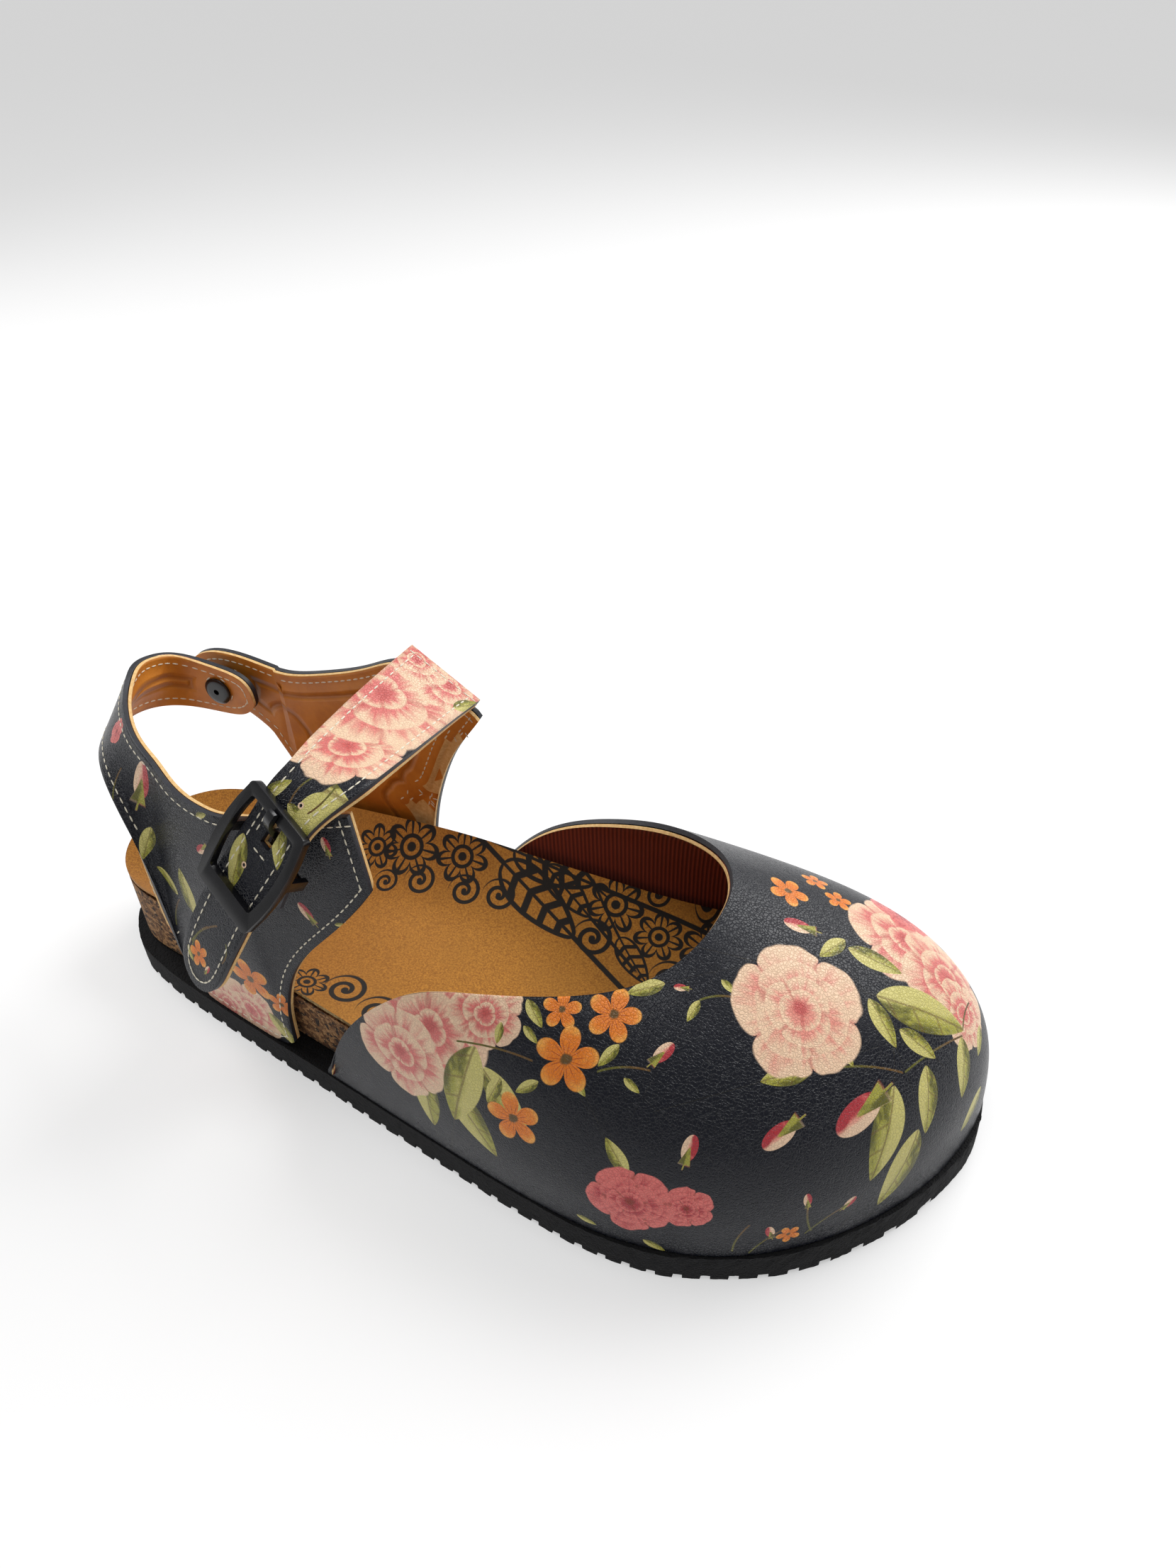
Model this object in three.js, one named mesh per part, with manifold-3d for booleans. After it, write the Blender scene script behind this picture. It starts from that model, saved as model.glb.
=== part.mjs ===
// Closed-toe clog for the right foot: moulded cork footbed on a ribbed sole, a leather toe cover,
// two padded leather quarters, an instep strap with a buckle and a heel sling with a snap fastener.
// Millimetres. +X points to the toe, +Y to the inner (big toe) side, +Z up.
// The origin is on the floor, under the middle of the sole's length.

import * as THREE from "three";
import { mergeVertices } from "three/addons/utils/BufferGeometryUtils.js";
import Module from "manifold-3d";

const wasm = await Module();
wasm.setup();

// ---------------------------------------------------------------- driving dimensions
const SOLE_LENGTH = 250; // heel to toe
const SOLE_WIDTH = 100; // across the ball of the foot
const UPPER_HEIGHT = 96; // from the top of the outsole to the highest point of the strap

const OUTSOLE_THICKNESS = 8.5;
const TREAD_PITCH = 6;
const TREAD_GROOVE_WIDTH = 2.2;
const TREAD_DEPTH = 1.4;
const JUTE_THICKNESS = 0.8;
const SUEDE_THICKNESS = 1.2;

const HEEL_BED = 14.5; // height of the footbed's middle over the outsole, at the heel
const ARCH_BED = 15.5;
const BALL_BED = 10;
const TOE_BED = 10.5;
const RIM_REACH = 22; // how far in from the edge the footbed starts to rise to its rim

const LEATHER_THICKNESS = 1.3;
const LINING_THICKNESS = 0.9;
const FOAM_THICKNESS = 1.2;
const TOE_PUFF_THICKNESS = 0.6;
const FOAM_MARGIN = 6; // from a sewn edge to the foam
const RIDGE_WIDTH = 2.5; // over which the lining steps up onto the foam

const GLUE_GAP = 0.2; // between layers that are glued or sewn together
const SEAT_GAP = 0.3; // between the uppers and the sole, and at a fold
const MOVE_GAP = 0.6; // where one piece moves past another

const BUCKLE_WIDTH = 20.6; // along its bars
const BUCKLE_LENGTH = 28; // along the strap
const BUCKLE_THICKNESS = 2;
const BUCKLE_SIDE_BAR = 2.1;
const BUCKLE_REST_BAR = 2.8; // the bar that the prong rests on
const BUCKLE_KEEPER_BAR = 4.4; // the wide bar that holds the strap's end down
const BUCKLE_BULGE = 1.6; // how far the side bars bow outwards
const CENTRE_BAR_DIAMETER = 2;
const BUCKLE_LEG_WIDTH = 1.4; // the two legs that carry the centre bar
const PRONG_WIDTH = 2.2;
const PRONG_THICKNESS = 1.5;
const KEEPER_LOOP_WIDTH = 12;
const KEEPER_LOOP_LENGTH = 13;
const KEEPER_LOOP_THICKNESS = 1.2;
const KEEPER_LOOP_LEAN = 14; // degrees, from the strap towards the quarter

const SNAP_CAP_DIAMETER = 10;
const SNAP_SOCKET_DIAMETER = 9;
const SNAP_SOCKET_HEIGHT = 1.8;
const SNAP_STUD_DIAMETER = 4.6;
const SNAP_EYELET_DIAMETER = 8.6;
const SNAP_SHANK_DIAMETER = 3;

// The sample size that the shape tables below were drawn for.
const SAMPLE = { length: 250, width: 100, height: 96 };

// ---------------------------------------------------------------- placing and solids
const clog = new THREE.Group();
const vec = (x, y, z) => new THREE.Vector3(x, y, z);
const clamp = THREE.MathUtils.clamp;
const lerp = THREE.MathUtils.lerp;
const smooth = (x) => THREE.MathUtils.smoothstep(x, 0, 1);

// A point of the shape tables: x and y of the sample size, h above the outsole's top.
function place(x, y, h) {
  return vec(
    (x * SOLE_LENGTH) / SAMPLE.length,
    (y * SOLE_WIDTH) / SAMPLE.width,
    OUTSOLE_THICKNESS + (h * UPPER_HEIGHT) / SAMPLE.height,
  );
}

function addMesh(name, geometry, colour, roughness, metalness = 0) {
  const material = new THREE.MeshStandardMaterial({ color: colour, roughness, metalness });
  const mesh = new THREE.Mesh(geometry, material);
  mesh.name = name;
  clog.add(mesh);
  return mesh;
}

// Vertices and faces to a closed geometry that faces outwards.
function closedGeometry(points, faces) {
  const raw = new THREE.BufferGeometry();
  raw.setAttribute("position", new THREE.Float32BufferAttribute(points.flatMap((p) => p.toArray()), 3));
  raw.setIndex(faces.flat());
  const merged = mergeVertices(raw, 1e-3);
  const at = (i) => vec().fromBufferAttribute(merged.attributes.position, i);
  const kept = [];
  let volume = 0;
  for (let i = 0; i < merged.index.count; i += 3) {
    const [a, b, c] = [0, 1, 2].map((k) => merged.index.getX(i + k));
    if (a === b || b === c || c === a) continue;
    kept.push([a, b, c]);
    volume += at(a).dot(at(b).cross(at(c)));
  }
  merged.setIndex(kept.flatMap((f) => (volume < 0 ? [f[0], f[2], f[1]] : f)));
  return merged;
}

function toManifold(geometry) {
  const bare = geometry.clone();
  bare.deleteAttribute("normal");
  bare.deleteAttribute("uv");
  const merged = mergeVertices(bare, 1e-3);
  return new wasm.Manifold(
    new wasm.Mesh({
      numProp: 3,
      vertProperties: merged.attributes.position.array,
      triVerts: new Uint32Array(merged.index.array),
    }),
  );
}

function fromManifold(solid) {
  const mesh = solid.getMesh();
  const geometry = new THREE.BufferGeometry();
  geometry.setAttribute("position", new THREE.BufferAttribute(mesh.vertProperties, 3));
  geometry.setIndex(new THREE.BufferAttribute(mesh.triVerts, 1));
  return geometry;
}

const cut = (from, ...tools) =>
  fromManifold(tools.reduce((solid, tool) => solid.subtract(toManifold(tool)), toManifold(from)));
const join = (...pieces) =>
  fromManifold(pieces.map(toManifold).reduce((whole, piece) => whole.add(piece)));

// A grid of points that closes on itself both ways is a tube; this joins rows of a wall instead:
// the front and back grids of one sheet, sewn shut round the edge.
function sheetSolid(front, back) {
  const rows = front.length;
  const columns = front[0].length;
  const points = [...front.flat(), ...back.flat()];
  const id = (side, i, j) => side * rows * columns + i * columns + j;
  const faces = [];
  const quad = (a, b, c, d) => faces.push([a, b, c], [a, c, d]);
  for (let i = 0; i + 1 < rows; i++)
    for (let j = 0; j + 1 < columns; j++) {
      quad(id(0, i, j), id(0, i + 1, j), id(0, i + 1, j + 1), id(0, i, j + 1));
      quad(id(1, i, j), id(1, i, j + 1), id(1, i + 1, j + 1), id(1, i + 1, j));
    }
  for (let i = 0; i + 1 < rows; i++) {
    const last = columns - 1;
    quad(id(0, i, 0), id(1, i, 0), id(1, i + 1, 0), id(0, i + 1, 0));
    quad(id(0, i + 1, last), id(1, i + 1, last), id(1, i, last), id(0, i, last));
  }
  for (let j = 0; j + 1 < columns; j++) {
    const last = rows - 1;
    quad(id(0, 0, j + 1), id(1, 0, j + 1), id(1, 0, j), id(0, 0, j));
    quad(id(0, last, j), id(1, last, j), id(1, last, j + 1), id(0, last, j + 1));
  }
  return closedGeometry(points, faces);
}

// The unit normals of a grid, turned to the side that `outward` names (1 or -1).
function gridNormals(grid, outward) {
  const rows = grid.length;
  const columns = grid[0].length;
  const at = (i, j) => grid[clamp(i, 0, rows - 1)][clamp(j, 0, columns - 1)];
  return grid.map((row, i) =>
    row.map((_, j) => {
      const along = at(i + 1, j).clone().sub(at(i - 1, j));
      const across = at(i, j + 1).clone().sub(at(i, j - 1));
      return along.cross(across).normalize().multiplyScalar(outward);
    }),
  );
}

// One layer of a grid surface, between two depths below it. A depth is a number or depth(i, j).
function layer(grid, normals, outerDepth, innerDepth) {
  const sink = (depth) =>
    grid.map((row, i) =>
      row.map((p, j) => {
        const d = typeof depth === "function" ? depth(i, j) : depth;
        const sunk = p.clone().addScaledVector(normals[i][j], -d);
        return sunk.setZ(Math.max(sunk.z, OUTSOLE_THICKNESS + SEAT_GAP));
      }),
    );
  return sheetSolid(sink(outerDepth), sink(innerDepth));
}

const part = (grid, i0, i1, j0, j1) => grid.slice(i0, i1 + 1).map((row) => row.slice(j0, j1 + 1));

// ---------------------------------------------------------------- the sole's outline
// Going round from the back of the heel, along the outer side, the toe and the inner side.
const OUTLINE = [
  [-125, 0], [-117, -18], [-100, -27.5], [-70, -34.8], [-35, -41.6], [0, -48.6], [29, -54],
  [55, -56.3], [80.5, -50.3], [101.3, -35.3], [117, -15], [125, 8], [123, 27], [105, 42],
  [75, 45], [45, 42], [10, 36], [-30, 33], [-70, 33.5], [-101, 31], [-118, 18.5],
];
const outlineCurve = new THREE.CatmullRomCurve3(
  OUTLINE.map(([x, y]) => place(x, y, 0).setZ(0)),
  true,
  "catmullrom",
  0.5,
);
// k counts the outline's points, so 2.5 is halfway between points 2 and 3.
const outlineAt = (k) => outlineCurve.getPoint((((k / OUTLINE.length) % 1) + 1) % 1);
const outlineInward = (k) => {
  const ahead = outlineAt(k + 0.02).sub(outlineAt(k - 0.02)).normalize();
  return vec(-ahead.y, ahead.x, 0);
};
const OUTLINE_SAMPLES = 420;
const outlineLoop = Array.from({ length: OUTLINE_SAMPLES }, (_, i) =>
  outlineAt((i / OUTLINE_SAMPLES) * OUTLINE.length),
);

// Where a ray from (cx, cy) crosses the outline: its length and the outline's k there.
function reach(cx, cy, dx, dy) {
  for (let i = 0; i < OUTLINE_SAMPLES; i++) {
    const a = outlineLoop[i];
    const b = outlineLoop[(i + 1) % OUTLINE_SAMPLES];
    const ex = b.x - a.x;
    const ey = b.y - a.y;
    const det = ex * dy - ey * dx;
    if (Math.abs(det) < 1e-9) continue;
    const along = (ex * (a.y - cy) - ey * (a.x - cx)) / det;
    const t = (dx * (a.y - cy) - dy * (a.x - cx)) / det;
    if (along > 0 && t >= -1e-9 && t <= 1 + 1e-9) {
      return { length: along, k: ((i + t) / OUTLINE_SAMPLES) * OUTLINE.length };
    }
  }
  throw new Error("the outline has no point that way");
}

// The footprint as spokes from a spine: fans at heel and toe, straight across between them.
const SPINE_HEEL = place(-84, 0, 0).x;
const SPINE_TOE = place(70, 0, 0).x;
const SPINE_STEPS = 12;
const FAN_STEPS = 7;
function middleY(x) {
  return (reach(x, 0, 0, 1).length - reach(x, 0, 0, -1).length) / 2;
}
function spokes() {
  const found = [];
  const spoke = (cx, dx, dy) => {
    const cy = middleY(cx);
    const { length, k } = reach(cx, cy, dx, dy);
    const inward = outlineInward(k);
    const slant = 1 / Math.max(-inward.x * dx - inward.y * dy, 0.4);
    found.push({ cx, cy, dx, dy, length, k, slant });
  };
  for (let i = 0; i <= SPINE_STEPS; i++) spoke(lerp(SPINE_HEEL, SPINE_TOE, i / SPINE_STEPS), 0, -1);
  for (let i = 1; i < FAN_STEPS; i++) {
    const a = -Math.PI / 2 + (Math.PI * i) / FAN_STEPS;
    spoke(SPINE_TOE, Math.cos(a), Math.sin(a));
  }
  for (let i = SPINE_STEPS; i >= 0; i--) spoke(lerp(SPINE_HEEL, SPINE_TOE, i / SPINE_STEPS), 0, 1);
  for (let i = 1; i < FAN_STEPS; i++) {
    const a = Math.PI / 2 + (Math.PI * i) / FAN_STEPS;
    spoke(SPINE_HEEL, Math.cos(a), Math.sin(a));
  }
  return found;
}
const SPOKES = spokes();

const MIDDLE = Infinity; // the inset that means the spine itself
const spokeRadius = (s, inset) => (inset === MIDDLE ? 0 : Math.max(s.length - inset * s.slant, 0));

// A solid over the footprint: profile(spoke) lists [distance in from the outline, height] from the
// middle of the top, out over the edge and back to the middle of the underside. The underside's
// faces are split along the same diagonals as the top's, so that stacked layers stay parallel.
function footprintSolid(topCount, profile) {
  const rings = SPOKES.map((s) =>
    profile(s).map(([inset, z]) => {
      const r = spokeRadius(s, inset);
      return vec(s.cx + s.dx * r, s.cy + s.dy * r, z);
    }),
  );
  const depth = rings[0].length;
  const faces = [];
  const id = (i, j) => (i % rings.length) * depth + j;
  for (let i = 0; i < rings.length; i++)
    for (let j = 0; j + 1 < depth; j++) {
      const [a, b, c, d] = [id(i, j), id(i, j + 1), id(i + 1, j + 1), id(i + 1, j)];
      if (j < topCount) faces.push([a, b, c], [a, c, d]);
      else faces.push([a, b, d], [b, c, d]);
    }
  return closedGeometry(rings.flat(), faces);
}

// ---------------------------------------------------------------- footbed
// How much the footbed's rim stands over its middle, at each outline point k.
const RIM_RISE = [
  9.5, 9.5, 9, 6.5, 3.5, 4, 5, 6, 6, 6, 6, 6, 6, 6, 6.5, 8, 12, 14, 12, 10, 9.5,
];
function rimRise(k) {
  const i = Math.floor(k) % RIM_RISE.length;
  const next = (i + 1) % RIM_RISE.length;
  return lerp(RIM_RISE[i], RIM_RISE[next], smooth(k - Math.floor(k)));
}
// Height of the suede's top over the outsole, along the middle.
const BED_STATIONS = [[-125, HEEL_BED + 1], [-90, HEEL_BED], [-30, ARCH_BED], [45, BALL_BED], [125, TOE_BED]];
function bedMiddle(x) {
  const sampleX = (x * SAMPLE.length) / SOLE_LENGTH;
  for (let i = 1; i < BED_STATIONS.length; i++) {
    const [x1, h1] = BED_STATIONS[i];
    const [x0, h0] = BED_STATIONS[i - 1];
    if (sampleX <= x1 || i === BED_STATIONS.length - 1)
      return lerp(h0, h1, smooth(clamp((sampleX - x0) / (x1 - x0), 0, 1)));
  }
}
function suedeTop(s, inset) {
  const x = s.cx + s.dx * spokeRadius(s, inset);
  const bowl = inset === MIDDLE ? 0 : Math.pow(clamp(1 - (inset - corkInset(s.k)) / RIM_REACH, 0, 1), 2);
  return OUTSOLE_THICKNESS + bedMiddle(x) + rimRise(s.k) * bowl;
}

// The uppers wrap the cork's side, so there it stands further in than at the bare heel.
const UPPER_STACK = LEATHER_THICKNESS + LINING_THICKNESS + SEAT_GAP * 2;
const EDGE_INSET = 0.4; // the uppers' outside, in from the outsole's edge
const COVERED_MARGIN = 2.6; // between the footbed's edge and the toe cover's inside, in the sample size
const COVERED_INSET = EDGE_INSET + UPPER_STACK + (COVERED_MARGIN * SOLE_LENGTH) / SAMPLE.length;
const BARE_INSET = 1.3;
const BARE_FROM = 18.9; // outline points between which the heel's cork is bare
const BARE_TO = OUTLINE.length + 2.1;
function corkInset(k) {
  const around = k < OUTLINE.length / 2 ? k + OUTLINE.length : k;
  const bare = smooth((around - BARE_FROM) / 0.4) * smooth((BARE_TO - around) / 0.4);
  return lerp(COVERED_INSET, BARE_INSET, bare);
}

const BED_INSETS = [RIM_REACH, 16, 9, 4, 1, 0]; // rings of the bed, in from the cork's edge
const bedRings = (s, skipped) => [
  MIDDLE,
  ...BED_INSETS.slice(0, BED_INSETS.length - skipped).map((d) => corkInset(s.k) + d),
];
function bedLayer(topDrop, thickness, skippedRings) {
  return footprintSolid(BED_INSETS.length, (s) => {
    const insets = bedRings(s, skippedRings);
    const z = (inset) => suedeTop(s, inset) - topDrop;
    const top = insets.map((d) => [d, z(d)]);
    const under = insets.map((d) => [d, z(d) - thickness]).reverse();
    return [...top, ...under];
  });
}

const juteDrop = SUEDE_THICKNESS + GLUE_GAP;
const corkDrop = juteDrop + JUTE_THICKNESS + GLUE_GAP;
const CORK_BOTTOM = OUTSOLE_THICKNESS + GLUE_GAP + JUTE_THICKNESS + GLUE_GAP;

addMesh("suede_footbed_cover", bedLayer(0, SUEDE_THICKNESS, 0), 0xb98232, 0.95);
addMesh("upper_jute_layer", bedLayer(juteDrop, JUTE_THICKNESS, 1), 0xa98f5c, 0.95);
addMesh(
  "cork_footbed",
  footprintSolid(BED_INSETS.length, (s) => {
    const top = bedRings(s, 0).map((d) => [d, suedeTop(s, d) - corkDrop]);
    return [...top, [corkInset(s.k), CORK_BOTTOM], [MIDDLE, CORK_BOTTOM]];
  }),
  0x9a6a3c,
  0.9,
);
addMesh(
  "lower_jute_layer",
  footprintSolid(2, (s) => {
    const base = corkInset(s.k) + 0.5;
    const low = OUTSOLE_THICKNESS + GLUE_GAP;
    return [[MIDDLE, low + JUTE_THICKNESS], [base, low + JUTE_THICKNESS], [base, low], [MIDDLE, low]];
  }),
  0x8f7a50,
  0.95,
);

// ---------------------------------------------------------------- outsole
function treadGrooves() {
  const grooves = [];
  const span = SOLE_LENGTH / 2 - TREAD_PITCH;
  const count = Math.floor(span / TREAD_PITCH);
  for (let i = -count; i < count; i++) {
    const groove = new THREE.BoxGeometry(TREAD_GROOVE_WIDTH, SOLE_WIDTH * 1.4, TREAD_DEPTH * 2);
    groove.translate((i + 0.5) * TREAD_PITCH, 0, 0);
    grooves.push(groove);
  }
  return grooves;
}
const soleBlank = footprintSolid(2, () => [
  [MIDDLE, OUTSOLE_THICKNESS],
  [0, OUTSOLE_THICKNESS],
  [0, 0],
  [MIDDLE, 0],
]);
addMesh("outsole", cut(soleBlank, ...treadGrooves()), 0x15161a, 0.85);

// ---------------------------------------------------------------- toe cover
// Each rib runs from the sole to the topline: the outline's k under it, then the topline's point,
// the rib's bulge outwards and how far it rises before it turns in, as a share of its height.
const TOE_RIBS = [
  [4.06, -31.5, -41.2, 3.5, 0, 0.4],
  [4.3, -27, -42.6, 14, 0.4, 0.4],
  [4.5, -21.5, -43.4, 25, 0.8, 0.4],
  [4.75, -13, -43.8, 36, 1.2, 0.42],
  [5.0, -3, -43.4, 45.5, 1.8, 0.45],
  [5.4, 8, -42.2, 50.3, 2.4, 0.5],
  [5.9, 21, -39.2, 51.2, 3, 0.55],
  [6.5, 36, -34, 51.8, 3.6, 0.6],
  [7.2, 47.5, -28, 53.2, 3.6, 0.62],
  [7.9, 54.5, -20.5, 55.4, 3.4, 0.64],
  [8.7, 58.3, -12.5, 57.4, 3, 0.64],
  [9.5, 59.8, -5, 58.4, 2.6, 0.64],
  [10.3, 60, 0, 58.5, 2.6, 0.68],
  [11.1, 59.6, 4.5, 58.2, 2.8, 0.72],
  [11.9, 58.2, 9.5, 57.8, 3, 0.74],
  [12.7, 55, 15.5, 57.1, 3.2, 0.74],
  [13.4, 49, 21.5, 55.2, 3.2, 0.72],
  [14.1, 41, 26.4, 52.8, 3, 0.68],
  [14.8, 31, 30.4, 49.5, 2.4, 0.6],
  [15.5, 19, 33.4, 44.5, 1.6, 0.5],
  [16.0, 7, 33.9, 40, 1.2, 0.45],
  [16.35, -5, 33.8, 33, 0.8, 0.42],
  [16.65, -15, 33.2, 22, 0.4, 0.4],
  [16.9, -23, 33, 10, 0.2, 0.4],
  [16.98, -26.5, 32.9, 3.5, 0, 0.4],
];
const RIB_STEPS = 9;
const TOE_COVER_RIBS = 30;
const SLOPE_IN = 0.5; // how steeply the toe cover still climbs at its topline, rise over run

function toeRib(t) {
  const along = t * (TOE_RIBS.length - 1);
  const i = Math.min(Math.floor(along), TOE_RIBS.length - 2);
  const mix = (column) => {
    const at = (n) => TOE_RIBS[clamp(n, 0, TOE_RIBS.length - 1)][column];
    const f = along - i;
    const [p0, p1, p2, p3] = [at(i - 1), at(i), at(i + 1), at(i + 2)];
    const cubic = -p0 + 3 * p1 - 3 * p2 + p3;
    return p1 + 0.5 * f * (p2 - p0 + f * (2 * p0 - 5 * p1 + 4 * p2 - p3 + f * cubic));
  };
  const [k, x, y, h, bulge, rise] = [0, 1, 2, 3, 4, 5].map(mix);
  const inward = outlineInward(k);
  const foot = outlineAt(k).addScaledVector(inward, EDGE_INSET);
  foot.z = OUTSOLE_THICKNESS + SEAT_GAP;
  const top = place(x, y, h);
  const run = vec(foot.x - top.x, foot.y - top.y, 0);
  const height = top.z - foot.z;
  const firstHandle = foot
    .clone()
    .addScaledVector(inward, -bulge)
    .add(vec(0, 0, height * rise));
  const reachOut = run.length() * 0.52;
  const lastHandle = top
    .clone()
    .addScaledVector(run.clone().normalize(), reachOut)
    .add(vec(0, 0, -Math.min(reachOut * SLOPE_IN, height * 0.4)));
  const curve = new THREE.CubicBezierCurve3(foot, firstHandle, lastHandle, top);
  return Array.from({ length: RIB_STEPS }, (_, j) => curve.getPoint(j / (RIB_STEPS - 1)));
}
const toeGrid = Array.from({ length: TOE_COVER_RIBS }, (_, i) => toeRib(i / (TOE_COVER_RIBS - 1)));
const toeNormals = gridNormals(toeGrid, 1);
const PUFF_FIRST_RIB = 10;
const PUFF_LAST_RIB = 23;
const PUFF_LAST_STEP = 5;
// 1 where the stiffener lies between the leather and the lining, 0 a step away from it.
const puffThere = (i, j) =>
  i >= PUFF_FIRST_RIB && i <= PUFF_LAST_RIB && j <= PUFF_LAST_STEP ? 1 : 0;
const toeLiningDepth = (i, j) =>
  LEATHER_THICKNESS + SEAT_GAP + puffThere(i, j) * (TOE_PUFF_THICKNESS + SEAT_GAP);

addMesh("toe_cover_leather", layer(toeGrid, toeNormals, 0, LEATHER_THICKNESS), 0x1a1e2a, 0.45);
addMesh(
  "toe_cover_lining",
  layer(toeGrid, toeNormals, toeLiningDepth, (i, j) => toeLiningDepth(i, j) + LINING_THICKNESS),
  0x6e2a20,
  0.9,
);
const puffGrid = part(toeGrid, PUFF_FIRST_RIB, PUFF_LAST_RIB, 0, PUFF_LAST_STEP);
const puffNormals = part(toeNormals, PUFF_FIRST_RIB, PUFF_LAST_RIB, 0, PUFF_LAST_STEP);
const puffDepth = LEATHER_THICKNESS + SEAT_GAP;
addMesh(
  "toe_puff_stiffener",
  layer(puffGrid, puffNormals, puffDepth, puffDepth + TOE_PUFF_THICKNESS),
  0xc9c4b4,
  0.9,
);

// ---------------------------------------------------------------- padded quarters
// A panel is drawn as stations: its lower and upper edge points, how far the foam stays from the
// lower edge, and the outward bulge between the two edges.
const ROW_MARGINS = [0, FOAM_MARGIN - RIDGE_WIDTH, FOAM_MARGIN];
const MIDDLE_ROWS = 4;

function panelGrid(stations, columns) {
  const lower = new THREE.CatmullRomCurve3(stations.map((s) => place(...s.low)), false, "centripetal");
  const upper = new THREE.CatmullRomCurve3(stations.map((s) => place(...s.high)), false, "centripetal");
  const last = stations.length - 1;
  const ease = (t, key) => {
    const i = Math.min(Math.floor(t * last), last - 1);
    return lerp(stations[i][key], stations[i + 1][key], t * last - i);
  };
  return Array.from({ length: columns }, (_, c) => {
    const t = c / (columns - 1);
    const low = lower.getPoint(t);
    const high = upper.getPoint(t);
    const size = low.distanceTo(high);
    const foamStart = Math.min(ease(t, "foamFrom"), size * 0.45);
    const foamEnd = Math.min(FOAM_MARGIN, size * 0.4);
    const ridge = Math.min(RIDGE_WIDTH, foamStart * 0.4, foamEnd * 0.4);
    const rows = [0, foamStart - ridge];
    for (let m = 0; m <= MIDDLE_ROWS; m++) rows.push(lerp(foamStart, size - foamEnd, m / MIDDLE_ROWS));
    rows.push(size - foamEnd + ridge, size);
    const bow = ease(t, "bow");
    const outward = vec(ease(t, "outX"), ease(t, "outY"), 0).normalize();
    return rows.map((d) => {
      const f = d / size;
      return low.clone().lerp(high, f).addScaledVector(outward, bow * 4 * f * (1 - f));
    });
  });
}
const FOAM_ROW_FIRST = ROW_MARGINS.length - 1;
const FOAM_ROW_LAST = FOAM_ROW_FIRST + MIDDLE_ROWS;

function station(low, high, foamFrom, bow, outX, outY) {
  return { low, high, foamFrom, bow, outX, outY };
}

const AT_SOLE = 30; // foam starts this far up where a panel runs down to the sole
const OUTER_QUARTER = [
  station([-12, -35.5, 67], [-15, -34.5, 87.6], FOAM_MARGIN, 0, 0, -1),
  station([-16.5, -36.4, 60.5], [-19.5, -35, 86.3], FOAM_MARGIN, 0, 0, -1),
  station([-24, -37.3, 51.5], [-26, -35, 84], FOAM_MARGIN, 0.3, 0, -1),
  station([-32, -37.6, 42.5], [-34, -34, 81], FOAM_MARGIN, 0.2, 0, -1),
  station([-38.5, -37.8, 33.5], [-41, -33.4, 78.3], FOAM_MARGIN, 0.5, -0.1, -1),
  station([-43, -38, 23], [-46.5, -33, 76], 12, 0.9, -0.1, -1),
  station([-45, -38.3, 12], [-51.5, -32.8, 74.6], 20, 1.3, -0.15, -1),
  station([-46, -38.5, 0.4], [-56, -33, 74], AT_SOLE, 1.8, -0.15, -1),
  station([-56, -36.9, 0.4], [-62, -32, 73.8], AT_SOLE, 2, -0.2, -1),
  station([-68, -34.5, 0.4], [-68, -30.5, 74], AT_SOLE, 2.2, -0.25, -1),
  station([-79, -32.2, 0.4], [-74, -28.2, 75], AT_SOLE, 2.2, -0.3, -1),
  station([-84, -31.2, 6], [-79, -25.6, 76.4], 26, 1.8, -0.4, -1),
  station([-84.5, -31.6, 24], [-82.5, -23.8, 77], 14, 1.4, -0.45, -1),
  station([-85.5, -31.8, 42], [-86, -22, 77.4], FOAM_MARGIN, 1, -0.5, -1),
  station([-88.5, -31, 55.5], [-90, -19.6, 77.8], FOAM_MARGIN, 0.6, -0.6, -1),
  station([-94.5, -28, 63.5], [-95, -16, 78.2], FOAM_MARGIN, 0.3, -0.8, -1),
  station([-101.5, -23, 67], [-100.5, -11, 78.4], FOAM_MARGIN, 0, -1, -1),
  station([-108.5, -16, 67.5], [-106, -5, 78.4], FOAM_MARGIN, 0, -1, -0.6),
  station([-114, -7, 66.6], [-110.6, 2, 79.2], FOAM_MARGIN, 0, -1, -0.3),
  station([-117, 3, 64.5], [-113.8, 8, 78.6], FOAM_MARGIN, 0, -1, 0),
  station([-117.5, 12, 61.4], [-114.8, 14, 77], FOAM_MARGIN, 0, -1, 0.3),
  station([-115.5, 19.8, 57.9], [-113.7, 20.4, 74.8], FOAM_MARGIN, 0, -1, 0.8),
  station([-110.5, 24.6, 55.5], [-109.8, 24.5, 72.2], FOAM_MARGIN, 0, -0.5, 1),
  station([-103, 26, 54.9], [-102, 25.8, 70.4], FOAM_MARGIN, 0, 0, 1),
  station([-96, 26.2, 55.2], [-95.6, 26, 69.4], FOAM_MARGIN, 0, 0, 1),
  station([-91.6, 26.2, 57.5], [-91.3, 26, 67.4], FOAM_MARGIN, 0, 0, 1),
  station([-89.8, 26.2, 60.4], [-89.7, 26, 64.2], FOAM_MARGIN, 0, 0, 1),
];
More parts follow.
